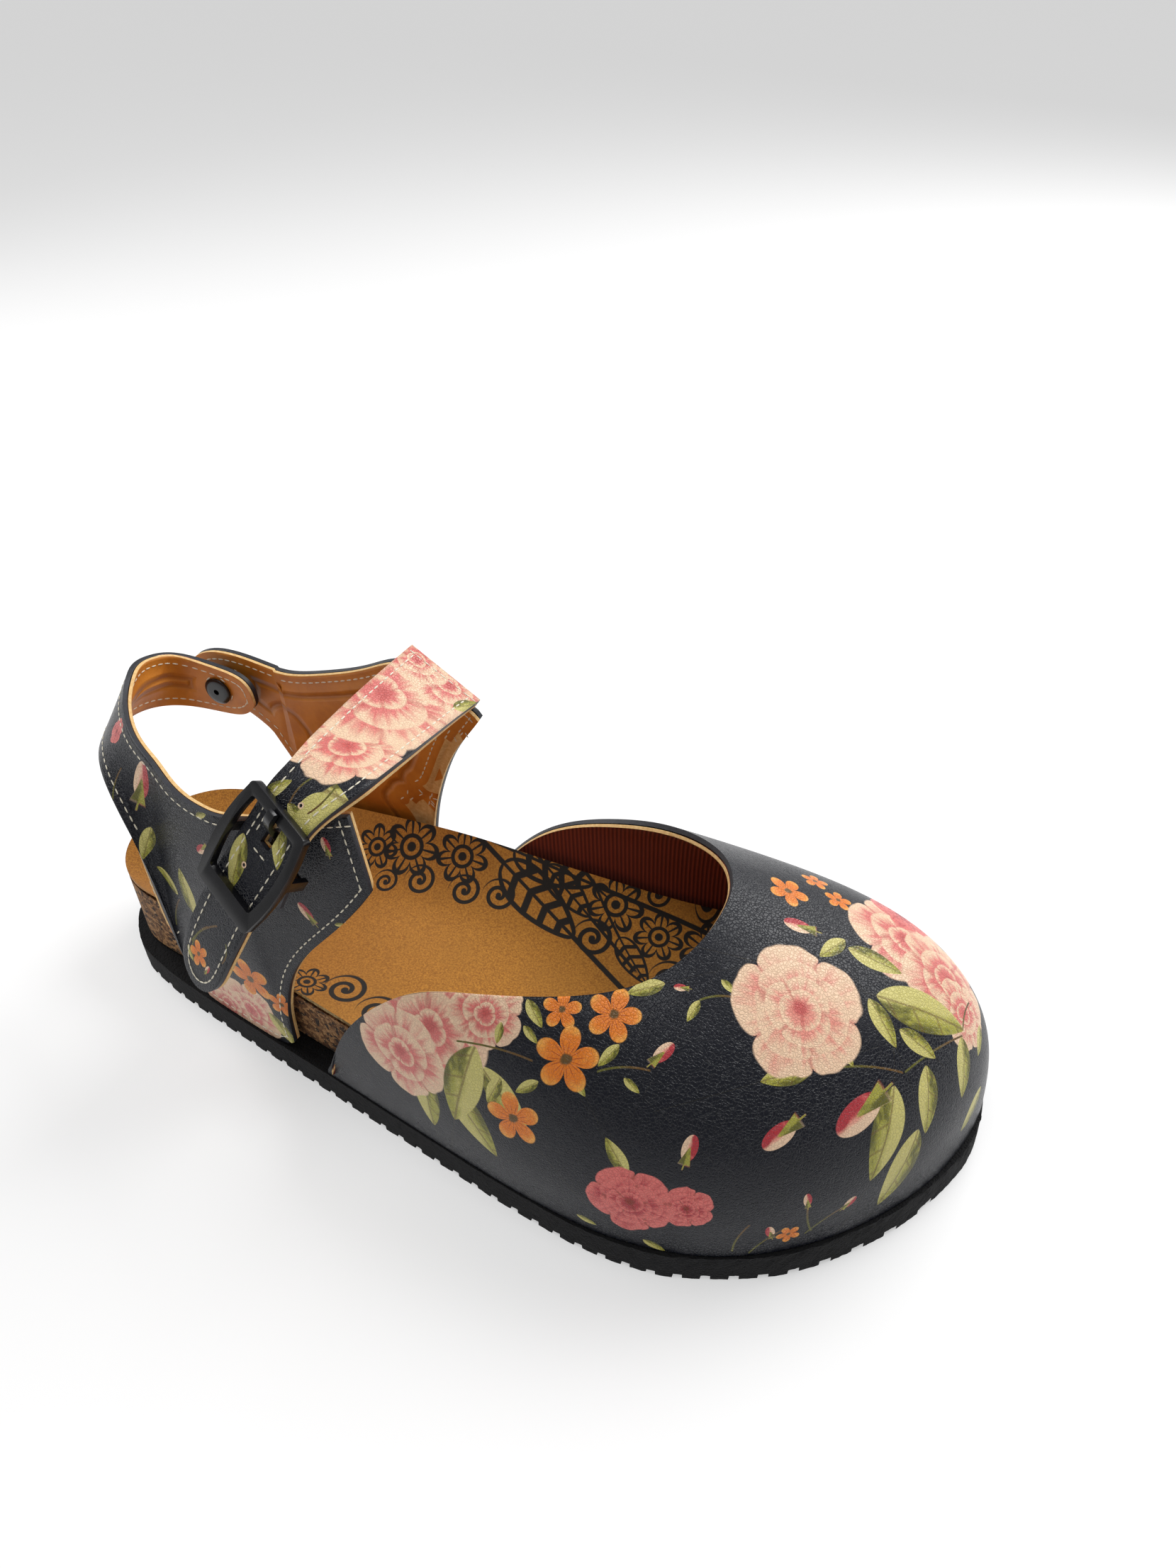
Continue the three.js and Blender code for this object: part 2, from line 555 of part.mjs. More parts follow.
const INNER_QUARTER = [
  station([-15.4, 25.6, 74.6], [-16.4, 25.2, 76.6], FOAM_MARGIN, 0, 0, 1),
  station([-19.5, 27.2, 68.6], [-21, 25.2, 79.6], FOAM_MARGIN, 0, 0, 1),
  station([-25, 28.8, 61], [-27, 25.2, 83.4], FOAM_MARGIN, 0.3, 0, 1),
  station([-29.5, 30.2, 53], [-33.5, 25.2, 87.2], FOAM_MARGIN, 0.6, 0, 1),
  station([-33.5, 31.5, 44], [-38.5, 26, 86.6], FOAM_MARGIN, 1, 0, 1),
  station([-37, 32.2, 34], [-44, 27, 84.2], 8, 1.4, 0, 1),
  station([-39.5, 32.6, 22], [-50, 28, 80.8], 16, 1.6, 0, 1),
  station([-41, 32.6, 10], [-55, 28.6, 78.4], 24, 1.8, 0, 1),
  station([-42, 32.6, 0.4], [-60, 29, 76.4], AT_SOLE, 2, 0, 1),
  station([-56, 32.7, 0.4], [-66, 29.6, 74.2], AT_SOLE, 2, 0, 1),
  station([-70, 33, 0.4], [-72, 30, 72.2], AT_SOLE, 2, 0, 1),
  station([-81, 32.8, 0.4], [-77, 30.4, 70.8], AT_SOLE, 1.8, -0.05, 1),
  station([-84.5, 32.6, 12], [-80, 30.6, 70.3], 20, 1.4, -0.1, 1),
  station([-85, 32.2, 30], [-82, 30.8, 70.1], FOAM_MARGIN, 1, -0.1, 1),
  station([-86.5, 31.6, 43], [-84, 31, 70], FOAM_MARGIN, 0.6, -0.1, 1),
];
const SLING_TAB = [
  station([-87.3, 32, 43.6], [-84.9, 31.6, 70], FOAM_MARGIN, 0, -0.05, 1),
  station([-92, 31.9, 48.6], [-90.5, 31.7, 70.8], FOAM_MARGIN, 0, -0.05, 1),
  station([-98, 31.9, 52.6], [-97, 31.8, 71.6], FOAM_MARGIN, 0, -0.05, 1),
  station([-105, 31.8, 55], [-104.5, 31.8, 71.6], FOAM_MARGIN, 0, -0.05, 1),
  station([-110.6, 31.5, 57.2], [-110.3, 31.5, 70], FOAM_MARGIN, 0, -0.1, 1),
  station([-114, 31.3, 60.4], [-113.9, 31.3, 67.4], FOAM_MARGIN, 0, -0.1, 1),
  station([-115, 31.2, 63], [-115, 31.2, 65], FOAM_MARGIN, 0, -0.1, 1),
];

// The lining steps up onto the foam between the first and last foam column.
const FOAM_STEP = FOAM_THICKNESS + GLUE_GAP;
function liningDepths(foamFirst, foamLast) {
  return (i, j) => {
    const overFoam = i >= foamFirst && i <= foamLast && j >= FOAM_ROW_FIRST && j <= FOAM_ROW_LAST;
    return LEATHER_THICKNESS + GLUE_GAP + (overFoam ? FOAM_STEP : 0);
  };
}
function paddedPanel(name, grid, outward, foamFirst, foamLast, holes) {
  const normals = gridNormals(grid, outward);
  const depth = liningDepths(foamFirst, foamLast);
  const leather = layer(grid, normals, 0, LEATHER_THICKNESS);
  const lining = layer(grid, normals, depth, (i, j) => depth(i, j) + LINING_THICKNESS);
  addMesh(name + "_leather", holes.length ? cut(leather, ...holes) : leather, 0x1a1e2a, 0.45);
  addMesh(name + "_lining", holes.length ? cut(lining, ...holes) : lining, 0xb5702a, 0.8);
  if (foamLast <= foamFirst) return;
  const foamGrid = part(grid, foamFirst, foamLast, FOAM_ROW_FIRST, FOAM_ROW_LAST);
  const foamNormals = part(normals, foamFirst, foamLast, FOAM_ROW_FIRST, FOAM_ROW_LAST);
  const top = LEATHER_THICKNESS + GLUE_GAP;
  addMesh(name + "_foam", layer(foamGrid, foamNormals, top, top + FOAM_THICKNESS), 0xe8dcae, 0.95);
}

const OUTER_COLUMNS = 40;
const INNER_COLUMNS = 20;
const TAB_COLUMNS = 9;
const outerGrid = panelGrid(OUTER_QUARTER, OUTER_COLUMNS);
const innerGrid = panelGrid(INNER_QUARTER, INNER_COLUMNS);
const tabGrid = panelGrid(SLING_TAB, TAB_COLUMNS);

// ---------------------------------------------------------------- snap fastener
const snapOnSling = place(-101.3, 26.1, 62.8);
const snapAxis = vec(-0.03, 1, 0).normalize();
function alongSnap(geometry, distance) {
  geometry.applyQuaternion(new THREE.Quaternion().setFromUnitVectors(vec(0, 1, 0), snapAxis));
  const at = snapOnSling.clone().addScaledVector(snapAxis, distance);
  return geometry.translate(at.x, at.y, at.z);
}
const turned = (profile, sides) =>
  new THREE.LatheGeometry(profile.map(([r, y]) => new THREE.Vector2(r, y)), sides);
const SNAP_SIDES = 14;
const shankRadius = SNAP_SHANK_DIAMETER / 2;
const snapHole = (length, radius, distance) =>
  alongSnap(new THREE.CylinderGeometry(radius, radius, length, SNAP_SIDES), distance);

const slingDepth = LEATHER_THICKNESS + GLUE_GAP + LINING_THICKNESS;
const tabOffset = 5.6; // from the sling's outside to the tab's outside
const slingHole = snapHole(20, shankRadius + MOVE_GAP, -slingDepth);
const tabHole = snapHole(4, shankRadius + MOVE_GAP, tabOffset - 1);

paddedPanel("outer_quarter", outerGrid, -1, 2, 30, [slingHole]);
paddedPanel("inner_quarter", innerGrid, 1, 3, 17, []);
const tabNormals = gridNormals(tabGrid, 1);
addMesh("sling_tab_leather", cut(layer(tabGrid, tabNormals, 0, LEATHER_THICKNESS), tabHole), 0x1a1e2a, 0.45);
const tabLining = layer(tabGrid, tabNormals, LEATHER_THICKNESS + GLUE_GAP, slingDepth);
addMesh("sling_tab_lining", cut(tabLining, tabHole), 0xb5702a, 0.8);

// On the sling: an eyelet seen from inside and the stud that it holds outside.
const eyeletRadius = SNAP_EYELET_DIAMETER / 2;
const eyeletBore = shankRadius - 0.6;
const inside = -(slingDepth + MOVE_GAP);
addMesh(
  "snap_eyelet",
  alongSnap(
    turned(
      [
        [eyeletBore, inside - 0.9], [eyeletRadius * 0.8, inside - 0.9], [eyeletRadius, inside - 0.4],
        [eyeletRadius, inside], [shankRadius, inside], [shankRadius, 0.9], [eyeletBore, 0.9],
        [eyeletBore, inside - 0.9],
      ],
      SNAP_SIDES,
    ),
    0,
  ),
  0x111214,
  0.35,
  0.6,
);
const studRadius = SNAP_STUD_DIAMETER / 2;
const studBore = shankRadius + GLUE_GAP;
addMesh(
  "snap_stud",
  alongSnap(
    turned(
      [
        [studBore, GLUE_GAP], [studRadius + 1.4, GLUE_GAP], [studRadius + 1.4, GLUE_GAP + 0.6],
        [studRadius - 0.2, GLUE_GAP + 0.6], [studRadius, GLUE_GAP + 1.5], [studRadius - 0.3, GLUE_GAP + 2],
        [studBore, GLUE_GAP + 2], [studBore, GLUE_GAP],
      ],
      SNAP_SIDES,
    ),
    0,
  ),
  0x1b1c1f,
  0.35,
  0.6,
);
// On the tab: the socket inside and the domed cap outside.
const socketTop = tabOffset - slingDepth - GLUE_GAP;
const socketLow = socketTop - SNAP_SOCKET_HEIGHT;
const socketRadius = SNAP_SOCKET_DIAMETER / 2;
const socketBore = studRadius + 0.4;
addMesh(
  "snap_socket",
  alongSnap(
    turned(
      [
        [socketBore, socketLow], [socketRadius, socketLow], [socketRadius, socketTop],
        [shankRadius + GLUE_GAP, socketTop], [shankRadius + GLUE_GAP, socketTop - 0.5],
        [socketBore, socketTop - 0.5], [socketBore, socketLow],
      ],
      SNAP_SIDES,
    ),
    0,
  ),
  0x1b1c1f,
  0.35,
  0.6,
);
const capRadius = SNAP_CAP_DIAMETER / 2;
const capLow = tabOffset + GLUE_GAP;
addMesh(
  "snap_cap",
  alongSnap(
    turned(
      [
        [0, socketTop - 0.4], [shankRadius, socketTop - 0.4],
        [shankRadius, capLow], [capRadius * 0.9, capLow],
        [capRadius, capLow + 0.5], [capRadius * 0.92, capLow + 1], [capRadius * 0.6, capLow + 1.7],
        [0, capLow + 2],
      ],
      SNAP_SIDES,
    ),
    0,
  ),
  0x111214,
  0.35,
  0.6,
);

// ---------------------------------------------------------------- buckle's own directions
// u runs along the bars towards the heel, v along the strap towards its end, n off the shoe.
const barAxis = vec(-0.8685, 0.3875, 0.3091).normalize();
const strapAxis = vec(-0.4631, -0.4118, -0.7848);
strapAxis.addScaledVector(barAxis, -strapAxis.dot(barAxis)).normalize();
const offShoe = barAxis.clone().cross(strapAxis).normalize();
// A narrower shoe leaves less room between the quarter and the buckle, so the buckle moves off it.
const BUCKLE_ROOM = 8;
const buckleCentre = place(-34.4, -45, 78.5).addScaledVector(
  offShoe,
  BUCKLE_ROOM * (1 - SOLE_WIDTH / SAMPLE.width),
);
const onBuckle = (u, v, n) =>
  buckleCentre
    .clone()
    .addScaledVector(barAxis, u)
    .addScaledVector(strapAxis, v)
    .addScaledVector(offShoe, n);
// A geometry drawn with x = u, y = v, z = n, put onto the buckle.
function onBuckleFrame(geometry) {
  const turn = new THREE.Matrix4().makeBasis(barAxis, strapAxis, offShoe);
  turn.setPosition(buckleCentre);
  return geometry.applyMatrix4(turn);
}

const strapTop = -(BUCKLE_THICKNESS / 2 + MOVE_GAP); // the strap's outside, under the frame
const strapUnder = strapTop - slingDepth;
const barRadius = CENTRE_BAR_DIAMETER / 2;
const loopTop = strapUnder - SEAT_GAP;
const barHeight = loopTop - KEEPER_LOOP_THICKNESS - GLUE_GAP - barRadius;
const barPlace = -0.5; // the centre bar's place along the strap

// ---------------------------------------------------------------- instep strap
// From the fold on the inner quarter, over the instep, to the buckle: its rear and front edges.
const STRAP_RUN = [
  [[-34, 25.6, 91.8], [-15.6, 25.6, 79.4]],
  [[-33.6, 13, 93], [-15, 14, 82.4]],
  [[-33.1, 0, 94.1], [-14.2, 2, 85.4]],
  [[-32.6, -14, 94.7], [-13.4, -10, 88.4]],
  [[-32.2, -23, 94.9], [-12.6, -22, 91.4]],
  [[-32.2, -29, 94.2], [-12.4, -32, 93.4]],
];
const STRAP_WIDTH_AT_BUCKLE = BUCKLE_WIDTH - 2 * BUCKLE_SIDE_BAR - 2 * SEAT_GAP;
const halfStrap = STRAP_WIDTH_AT_BUCKLE / 2;
const TIP_START = BUCKLE_LENGTH / 2 + MOVE_GAP;
const strapRear = [];
const strapFront = [];
for (const [rear, front] of STRAP_RUN) {
  strapRear.push(place(...rear));
  strapFront.push(place(...front));
}
const BEND_POINTS = [-BUCKLE_LENGTH / 2 - 1, -BUCKLE_LENGTH / 4, 0, BUCKLE_LENGTH / 4, TIP_START - MOVE_GAP];
for (const v of BEND_POINTS) {
  strapRear.push(onBuckle(halfStrap, v, strapTop));
  strapFront.push(onBuckle(-halfStrap, v, strapTop));
}
const STRAP_COLUMNS = 22;
const STRAP_ROWS = 5;
function bandGrid(rearPoints, frontPoints, columns) {
  const rear = new THREE.CatmullRomCurve3(rearPoints, false, "centripetal");
  const front = new THREE.CatmullRomCurve3(frontPoints, false, "centripetal");
  return Array.from({ length: columns }, (_, c) => {
    const t = c / (columns - 1);
    const a = rear.getPoint(t);
    const b = front.getPoint(t);
    return Array.from({ length: STRAP_ROWS }, (_, j) => a.clone().lerp(b, j / (STRAP_ROWS - 1)));
  });
}
const PRONG_HOLE = -6.2; // along the strap
const PRONG_HOLE_LENGTH = 6.4;
const prongHole = onBuckleFrame(
  new THREE.BoxGeometry(PRONG_WIDTH + 2 * MOVE_GAP, PRONG_HOLE_LENGTH, 12).translate(
    0,
    PRONG_HOLE,
    strapTop - 1,
  ),
);
const strapGrid = bandGrid(strapRear, strapFront, STRAP_COLUMNS);
const strapNormals = gridNormals(strapGrid, 1);
const strapLeather = layer(strapGrid, strapNormals, 0, LEATHER_THICKNESS);
addMesh("instep_strap_leather", cut(strapLeather, prongHole), 0xd9a79a, 0.5);
const strapLining = layer(strapGrid, strapNormals, LEATHER_THICKNESS + GLUE_GAP, slingDepth);
addMesh("instep_strap_lining", cut(strapLining, prongHole), 0xb5702a, 0.8);

// The loose end beyond the buckle, with a rounded tip.
const TIP_LENGTH = 27;
const TIP_SETTLE = 5.5; // how far the end has settled towards the shoe's side
const TIP_ROUND = [0, 0.45, 0.75, 0.9, 0.97, 1];
const tipRear = [];
const tipFront = [];
for (const f of TIP_ROUND) {
  const v = TIP_START + TIP_LENGTH * f;
  const roundFrom = 0.6;
  const bend = clamp((f - roundFrom) / (1 - roundFrom), 0, 1);
  const half = halfStrap * Math.sqrt(Math.max(1 - Math.pow(bend, 2.4), 0.02));
  const settle = TIP_SETTLE * Math.pow(f, 1.4);
  tipRear.push(onBuckle(half, v, strapTop - settle));
  tipFront.push(onBuckle(-half, v, strapTop - settle));
}
const tipGrid = bandGrid(tipRear, tipFront, 10);
const tipNormals = gridNormals(tipGrid, 1);
addMesh("strap_tip_leather", layer(tipGrid, tipNormals, 0, LEATHER_THICKNESS), 0x1a1e2a, 0.45);
const tipLining = layer(tipGrid, tipNormals, LEATHER_THICKNESS + GLUE_GAP, slingDepth);
addMesh("strap_tip_lining", tipLining, 0xb5702a, 0.8);

// ---------------------------------------------------------------- buckle
function barrelOutline(halfWidth, from, to, bulge, corner) {
  const shape = new THREE.Shape();
  const mid = (from + to) / 2;
  shape.moveTo(-halfWidth + corner, from);
  shape.lineTo(halfWidth - corner, from);
  shape.quadraticCurveTo(halfWidth, from, halfWidth, from + corner);
  shape.quadraticCurveTo(halfWidth + 2 * bulge, mid, halfWidth, to - corner);
  shape.quadraticCurveTo(halfWidth, to, halfWidth - corner, to);
  shape.lineTo(-halfWidth + corner, to);
  shape.quadraticCurveTo(-halfWidth, to, -halfWidth, to - corner);
  shape.quadraticCurveTo(-halfWidth - 2 * bulge, mid, -halfWidth, from + corner);
  shape.quadraticCurveTo(-halfWidth, from, -halfWidth + corner, from);
  return shape;
}
function buckleFrame() {
  const ring = barrelOutline(BUCKLE_WIDTH / 2, -BUCKLE_LENGTH / 2, BUCKLE_LENGTH / 2, BUCKLE_BULGE, 1.8);
  ring.holes.push(
    barrelOutline(
      BUCKLE_WIDTH / 2 - BUCKLE_SIDE_BAR,
      -BUCKLE_LENGTH / 2 + BUCKLE_REST_BAR,
      BUCKLE_LENGTH / 2 - BUCKLE_KEEPER_BAR,
      BUCKLE_BULGE * 0.7,
      1.2,
    ),
  );
  const face = new THREE.ExtrudeGeometry(ring, {
    depth: BUCKLE_THICKNESS,
    bevelEnabled: false,
    curveSegments: 6,
  }).translate(0, 0, -BUCKLE_THICKNESS / 2);
  const legAt = BUCKLE_WIDTH / 2 - BUCKLE_SIDE_BAR + BUCKLE_BULGE * 0.7 + BUCKLE_LEG_WIDTH / 2;
  const legs = [-1, 1].map((side) =>
    new THREE.BoxGeometry(BUCKLE_LEG_WIDTH, CENTRE_BAR_DIAMETER * 1.4, -barHeight + barRadius).translate(
      side * legAt,
      barPlace,
      (barHeight - barRadius) / 2,
    ),
  );
  const bar = new THREE.CylinderGeometry(barRadius, barRadius, legAt * 2, 12)
    .rotateZ(Math.PI / 2)
    .translate(0, barPlace, barHeight);
  return onBuckleFrame(join(face, ...legs, bar));
}
addMesh("buckle_frame", buckleFrame(), 0x0c0d0f, 0.25, 0.4);

// The prong: an eye round the centre bar and an arm up through the strap onto the rest bar.
function prongOutline() {
  const eye = barRadius + 0.25 + PRONG_THICKNESS * 0.85;
  const restTop = BUCKLE_THICKNESS / 2 + 0.25;
  const restAt = -BUCKLE_LENGTH / 2 + BUCKLE_REST_BAR * 0.5;
  const arm = new THREE.Shape();
  const undercut = strapUnder - SEAT_GAP; // the arm stays under the strap up to its hole
  arm.moveTo(barPlace + eye * 0.1, Math.min(barHeight + eye * 0.97, undercut));
  arm.lineTo(PRONG_HOLE + 2.2, undercut);
  arm.lineTo(PRONG_HOLE - 0.2, strapTop + 0.3);
  arm.quadraticCurveTo(restAt + 3, restTop + PRONG_THICKNESS, restAt + 1, restTop + PRONG_THICKNESS);
  arm.lineTo(restAt - 0.6, restTop + PRONG_THICKNESS);
  arm.lineTo(restAt - 0.9, restTop + PRONG_THICKNESS * 0.5);
  arm.lineTo(restAt - 0.6, restTop);
  arm.lineTo(restAt + 1.8, restTop);
  arm.quadraticCurveTo(restAt + 3.4, restTop, PRONG_HOLE - 1.9, strapTop);
  arm.lineTo(PRONG_HOLE + 0.4, undercut - PRONG_THICKNESS);
  arm.lineTo(barPlace - eye * 0.9, barHeight + eye * 0.2);
  arm.closePath();
  return { arm, eye };
}
function prong() {
  const { arm, eye } = prongOutline();
  const settings = { depth: PRONG_WIDTH, bevelEnabled: false, curveSegments: 5 };
  const stand = (geometry) =>
    geometry
      .translate(0, 0, -PRONG_WIDTH / 2)
      .applyMatrix4(new THREE.Matrix4().makeBasis(vec(0, 1, 0), vec(0, 0, 1), vec(1, 0, 0)));
  const rim = new THREE.CylinderGeometry(eye, eye, PRONG_WIDTH, 16);
  rim.rotateZ(Math.PI / 2).translate(0, barPlace, barHeight);
  const bore = new THREE.CylinderGeometry(barRadius + 0.25, barRadius + 0.25, PRONG_WIDTH * 2, 16);
  bore.rotateZ(Math.PI / 2).translate(0, barPlace, barHeight);
  return onBuckleFrame(cut(join(rim, stand(new THREE.ExtrudeGeometry(arm, settings))), bore));
}
addMesh("buckle_prong", prong(), 0x0c0d0f, 0.25, 0.4);

// The leather loop that holds the centre bar: doubled round it, with a slot for the prong's eye.
function keeperLoop() {
  const inner = barRadius + GLUE_GAP;
  const outer = inner + KEEPER_LOOP_THICKNESS;
  const end = barPlace + KEEPER_LOOP_LENGTH;
  const shape = new THREE.Shape();
  shape.moveTo(end, barHeight + outer);
  shape.lineTo(barPlace, barHeight + outer);
  shape.absarc(barPlace, barHeight, outer, Math.PI / 2, (3 * Math.PI) / 2, false);
  shape.lineTo(end, barHeight - outer);
  shape.lineTo(end, barHeight - inner);
  shape.lineTo(barPlace, barHeight - inner);
  shape.absarc(barPlace, barHeight, inner, (3 * Math.PI) / 2, Math.PI / 2, true);
  shape.lineTo(end, barHeight + inner);
  shape.closePath();
  const band = new THREE.ExtrudeGeometry(shape, {
    depth: KEEPER_LOOP_WIDTH,
    bevelEnabled: false,
    curveSegments: 8,
  });
  band
    .translate(0, 0, -KEEPER_LOOP_WIDTH / 2)
    .applyMatrix4(new THREE.Matrix4().makeBasis(vec(0, 1, 0), vec(0, 0, 1), vec(1, 0, 0)))
    .translate(0, -barPlace, -barHeight)
    .rotateX(-THREE.MathUtils.degToRad(KEEPER_LOOP_LEAN))
    .translate(0, barPlace, barHeight);
  const slotLength = 9;
  const slot = new THREE.BoxGeometry(PRONG_WIDTH + 2 * MOVE_GAP, slotLength, 20);
  slot.translate(0, barPlace - 0.5, barHeight);
  return onBuckleFrame(cut(band, slot));
}
addMesh("buckle_keeper_loop", keeperLoop(), 0x1a1e2a, 0.5);

export default clog;
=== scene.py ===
# %% [markdown]
# # A clog sandal, finished in Blender
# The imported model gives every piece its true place: a ribbed sole, a cork footbed, a toe cover, two padded
# quarters, a buckled strap over the instep and a heel sling that snaps shut. These cells give each piece its
# smooth surface, its printed leather, its seams and its light. Everything is in metres, in the model's frame.

# %% Load the fixed frame
import math
import random
from itertools import permutations

import bmesh
import bpy
from mathutils import Matrix, Vector
from mathutils.bvhtree import BVHTree
from mathutils.kdtree import KDTree


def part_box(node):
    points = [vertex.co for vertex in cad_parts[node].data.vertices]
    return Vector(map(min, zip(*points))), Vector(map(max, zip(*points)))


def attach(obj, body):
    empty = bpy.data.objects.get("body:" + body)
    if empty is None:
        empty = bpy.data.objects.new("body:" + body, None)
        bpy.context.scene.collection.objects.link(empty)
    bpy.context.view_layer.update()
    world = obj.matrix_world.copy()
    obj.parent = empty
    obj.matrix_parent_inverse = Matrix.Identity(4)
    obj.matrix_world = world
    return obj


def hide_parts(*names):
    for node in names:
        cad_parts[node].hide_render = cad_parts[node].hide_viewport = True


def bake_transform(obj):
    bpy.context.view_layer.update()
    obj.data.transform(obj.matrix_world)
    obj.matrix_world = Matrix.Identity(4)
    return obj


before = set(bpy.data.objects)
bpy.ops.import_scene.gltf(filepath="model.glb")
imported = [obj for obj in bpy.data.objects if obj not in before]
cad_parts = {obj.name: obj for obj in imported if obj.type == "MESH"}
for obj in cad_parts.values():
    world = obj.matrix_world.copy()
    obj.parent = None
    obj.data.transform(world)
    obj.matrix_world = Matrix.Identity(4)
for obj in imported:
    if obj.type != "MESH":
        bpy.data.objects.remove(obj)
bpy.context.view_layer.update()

MM = 0.001

# %% [markdown]
# ## Camera
# The shoe is seen from its outer front side, from about 35 degrees above, with a lens about as wide as a
# phone's. The camera's three directions are given as vectors: right, up and backwards.

# %% Camera
CAMERA_AT = Vector((0.1148, -0.1858, 0.2558))
CAMERA_RIGHT = Vector((0.91278, 0.40709, -0.03332))
CAMERA_UP = Vector((-0.23015, 0.58001, 0.78142))
camera_data = bpy.data.cameras.new("camera")
camera_data.sensor_fit = "AUTO"
camera_data.sensor_width = 36.0
camera_data.lens = 26.853
camera_data.clip_start = 0.01
camera = bpy.data.objects.new("camera", camera_data)
camera_axes = Matrix((CAMERA_RIGHT, CAMERA_UP, CAMERA_RIGHT.cross(CAMERA_UP))).transposed()
camera.matrix_world = Matrix.Translation(CAMERA_AT) @ camera_axes.to_4x4()
bpy.context.scene.collection.objects.link(camera)
bpy.context.scene.camera = camera

# %% [markdown]
# ## Floor and light
# A pale floor that glows a little and a white room give the soft shadow under the sole. One large lamp behind
# the shoe draws the broad shine on the toe. Two weaker ones fill it from above and from the heel.

# %% Floor and lamps
bpy.ops.object.select_all(action="DESELECT")
bpy.ops.mesh.primitive_plane_add(size=30, location=(0, 0, 0))
floor = bpy.context.active_object
floor.name = "floor"
floor_paint = bpy.data.materials.new("floor_paint")
floor_paint.use_nodes = True
floor_shader = floor_paint.node_tree.nodes["Principled BSDF"]
floor_shader.inputs["Base Color"].default_value = (0.5, 0.5, 0.5, 1)
floor_shader.inputs["Roughness"].default_value = 0.9
floor_shader.inputs["Emission Color"].default_value = (1, 1, 1, 1)
floor_shader.inputs["Emission Strength"].default_value = 0.46
floor.data.materials.append(floor_paint)

room = bpy.data.worlds.new("room")
room.use_nodes = True
room.node_tree.nodes["Background"].inputs["Color"].default_value = (1, 1, 1, 1)
room.node_tree.nodes["Background"].inputs["Strength"].default_value = 0.36
bpy.context.scene.world = room
bpy.context.scene.view_settings.view_transform = "Standard"


def lamp(name, place, target, size, watts):
    """A square soft lamp at a place, turned towards a target."""
    data = bpy.data.lights.new(name, "AREA")
    data.shape = "SQUARE"
    data.size = size
    data.energy = watts
    light = bpy.data.objects.new(name, data)
    light.location = place
    light.rotation_euler = (Vector(target) - Vector(place)).to_track_quat("-Z", "Y").to_euler()
    bpy.context.scene.collection.objects.link(light)
    return light


lamp("key_lamp", (0.0, -0.12, 0.95), (0.02, 0, 0.03), 0.42, 2.2)
lamp("heel_lamp", (-0.75, 0.15, 0.55), (-0.05, 0, 0.05), 0.4, 2.5)
lamp("back_lamp", (0.36, 0.66, 0.70), (0.06, 0, 0.05), 0.75, 10)

# %% [markdown]
# ## Copying a node's shape
# A node arrives as loose triangles. A copy is welded, its triangles are paired into four-sided faces, its
# sharp edges are creased, and a Subdivision Surface rounds what lies between. The narrow faces of a sheet's
# cut edge go to the second material slot, because leather shows its raw colour there.

# %% Copy, crease and subdivide
SHARP = math.radians(42)


def activate(*pieces):
    bpy.ops.object.select_all(action="DESELECT")
    for piece in pieces:
        piece.select_set(True)
    bpy.context.view_layer.objects.active = pieces[0]


def new_piece(name, bm):
    mesh = bpy.data.meshes.new(name)
    bm.to_mesh(mesh)
    bm.free()
    piece = bpy.data.objects.new(name, mesh)
    bpy.context.scene.collection.objects.link(piece)
    return piece


def welded_copy(name, *nodes):
    """The nodes' meshes as one new piece, welded, with its triangles paired into quads."""
    bm = bmesh.new()
    for node in nodes:
        bm.from_mesh(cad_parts[node].data)
    bmesh.ops.remove_doubles(bm, verts=bm.verts, dist=0.02 * MM)
    piece = new_piece(name, bm)
    activate(piece)
    bpy.ops.object.mode_set(mode="EDIT")
    bpy.ops.mesh.select_all(action="SELECT")
    bpy.ops.mesh.tris_convert_to_quads(face_threshold=math.radians(38), shape_threshold=math.radians(75))
    bpy.ops.object.mode_set(mode="OBJECT")
    return piece


def crease_and_mark(piece, sharp=SHARP, rims=True):
    """Creases the sharp edges and puts the narrow faces between two of them in material slot 1."""
    bm = bmesh.new()
    bm.from_mesh(piece.data)
    crease = bm.edges.layers.float.get("crease_edge") or bm.edges.layers.float.new("crease_edge")
    hard = set()
    for edge in bm.edges:
        if len(edge.link_faces) == 2 and edge.calc_face_angle(0) > sharp:
            edge[crease] = 1.0
            hard.add(edge)
    marked = 0
    for face in bm.faces:
        long_hard = [e for e in face.edges if e in hard]
        opposite = any(not set(a.verts) & set(b.verts) for a in long_hard for b in long_hard if a is not b)
        face.material_index = 1 if rims and opposite else 0
        marked += face.material_index
    bm.to_mesh(piece.data)
    bm.free()
    return marked


def subdivide(piece, levels):
    activate(piece)
    smooth = piece.modifiers.new("smooth", "SUBSURF")
    smooth.levels = smooth.render_levels = levels
    smooth.boundary_smooth = "PRESERVE_CORNERS"
    bpy.ops.object.modifier_apply(modifier=smooth.name)
    bpy.ops.object.shade_smooth_by_angle(angle=math.radians(45))


def note_edge_gap(piece):
    """Writes each vertex's distance from the sheet's cut edge, in millimetres, as the attribute edge_gap."""
    mesh = piece.data
    rim = {i for polygon in mesh.polygons if polygon.material_index == 1 for i in polygon.vertices}
    gaps = [99.0] * len(mesh.vertices)
    if rim:
        near = KDTree(len(rim))
        for i in rim:
            near.insert(mesh.vertices[i].co, i)
        near.balance()
        gaps = [near.find(vertex.co)[2] / MM for vertex in mesh.vertices]
    mesh.attributes.new("edge_gap", "FLOAT", "POINT").data.foreach_set("value", gaps)


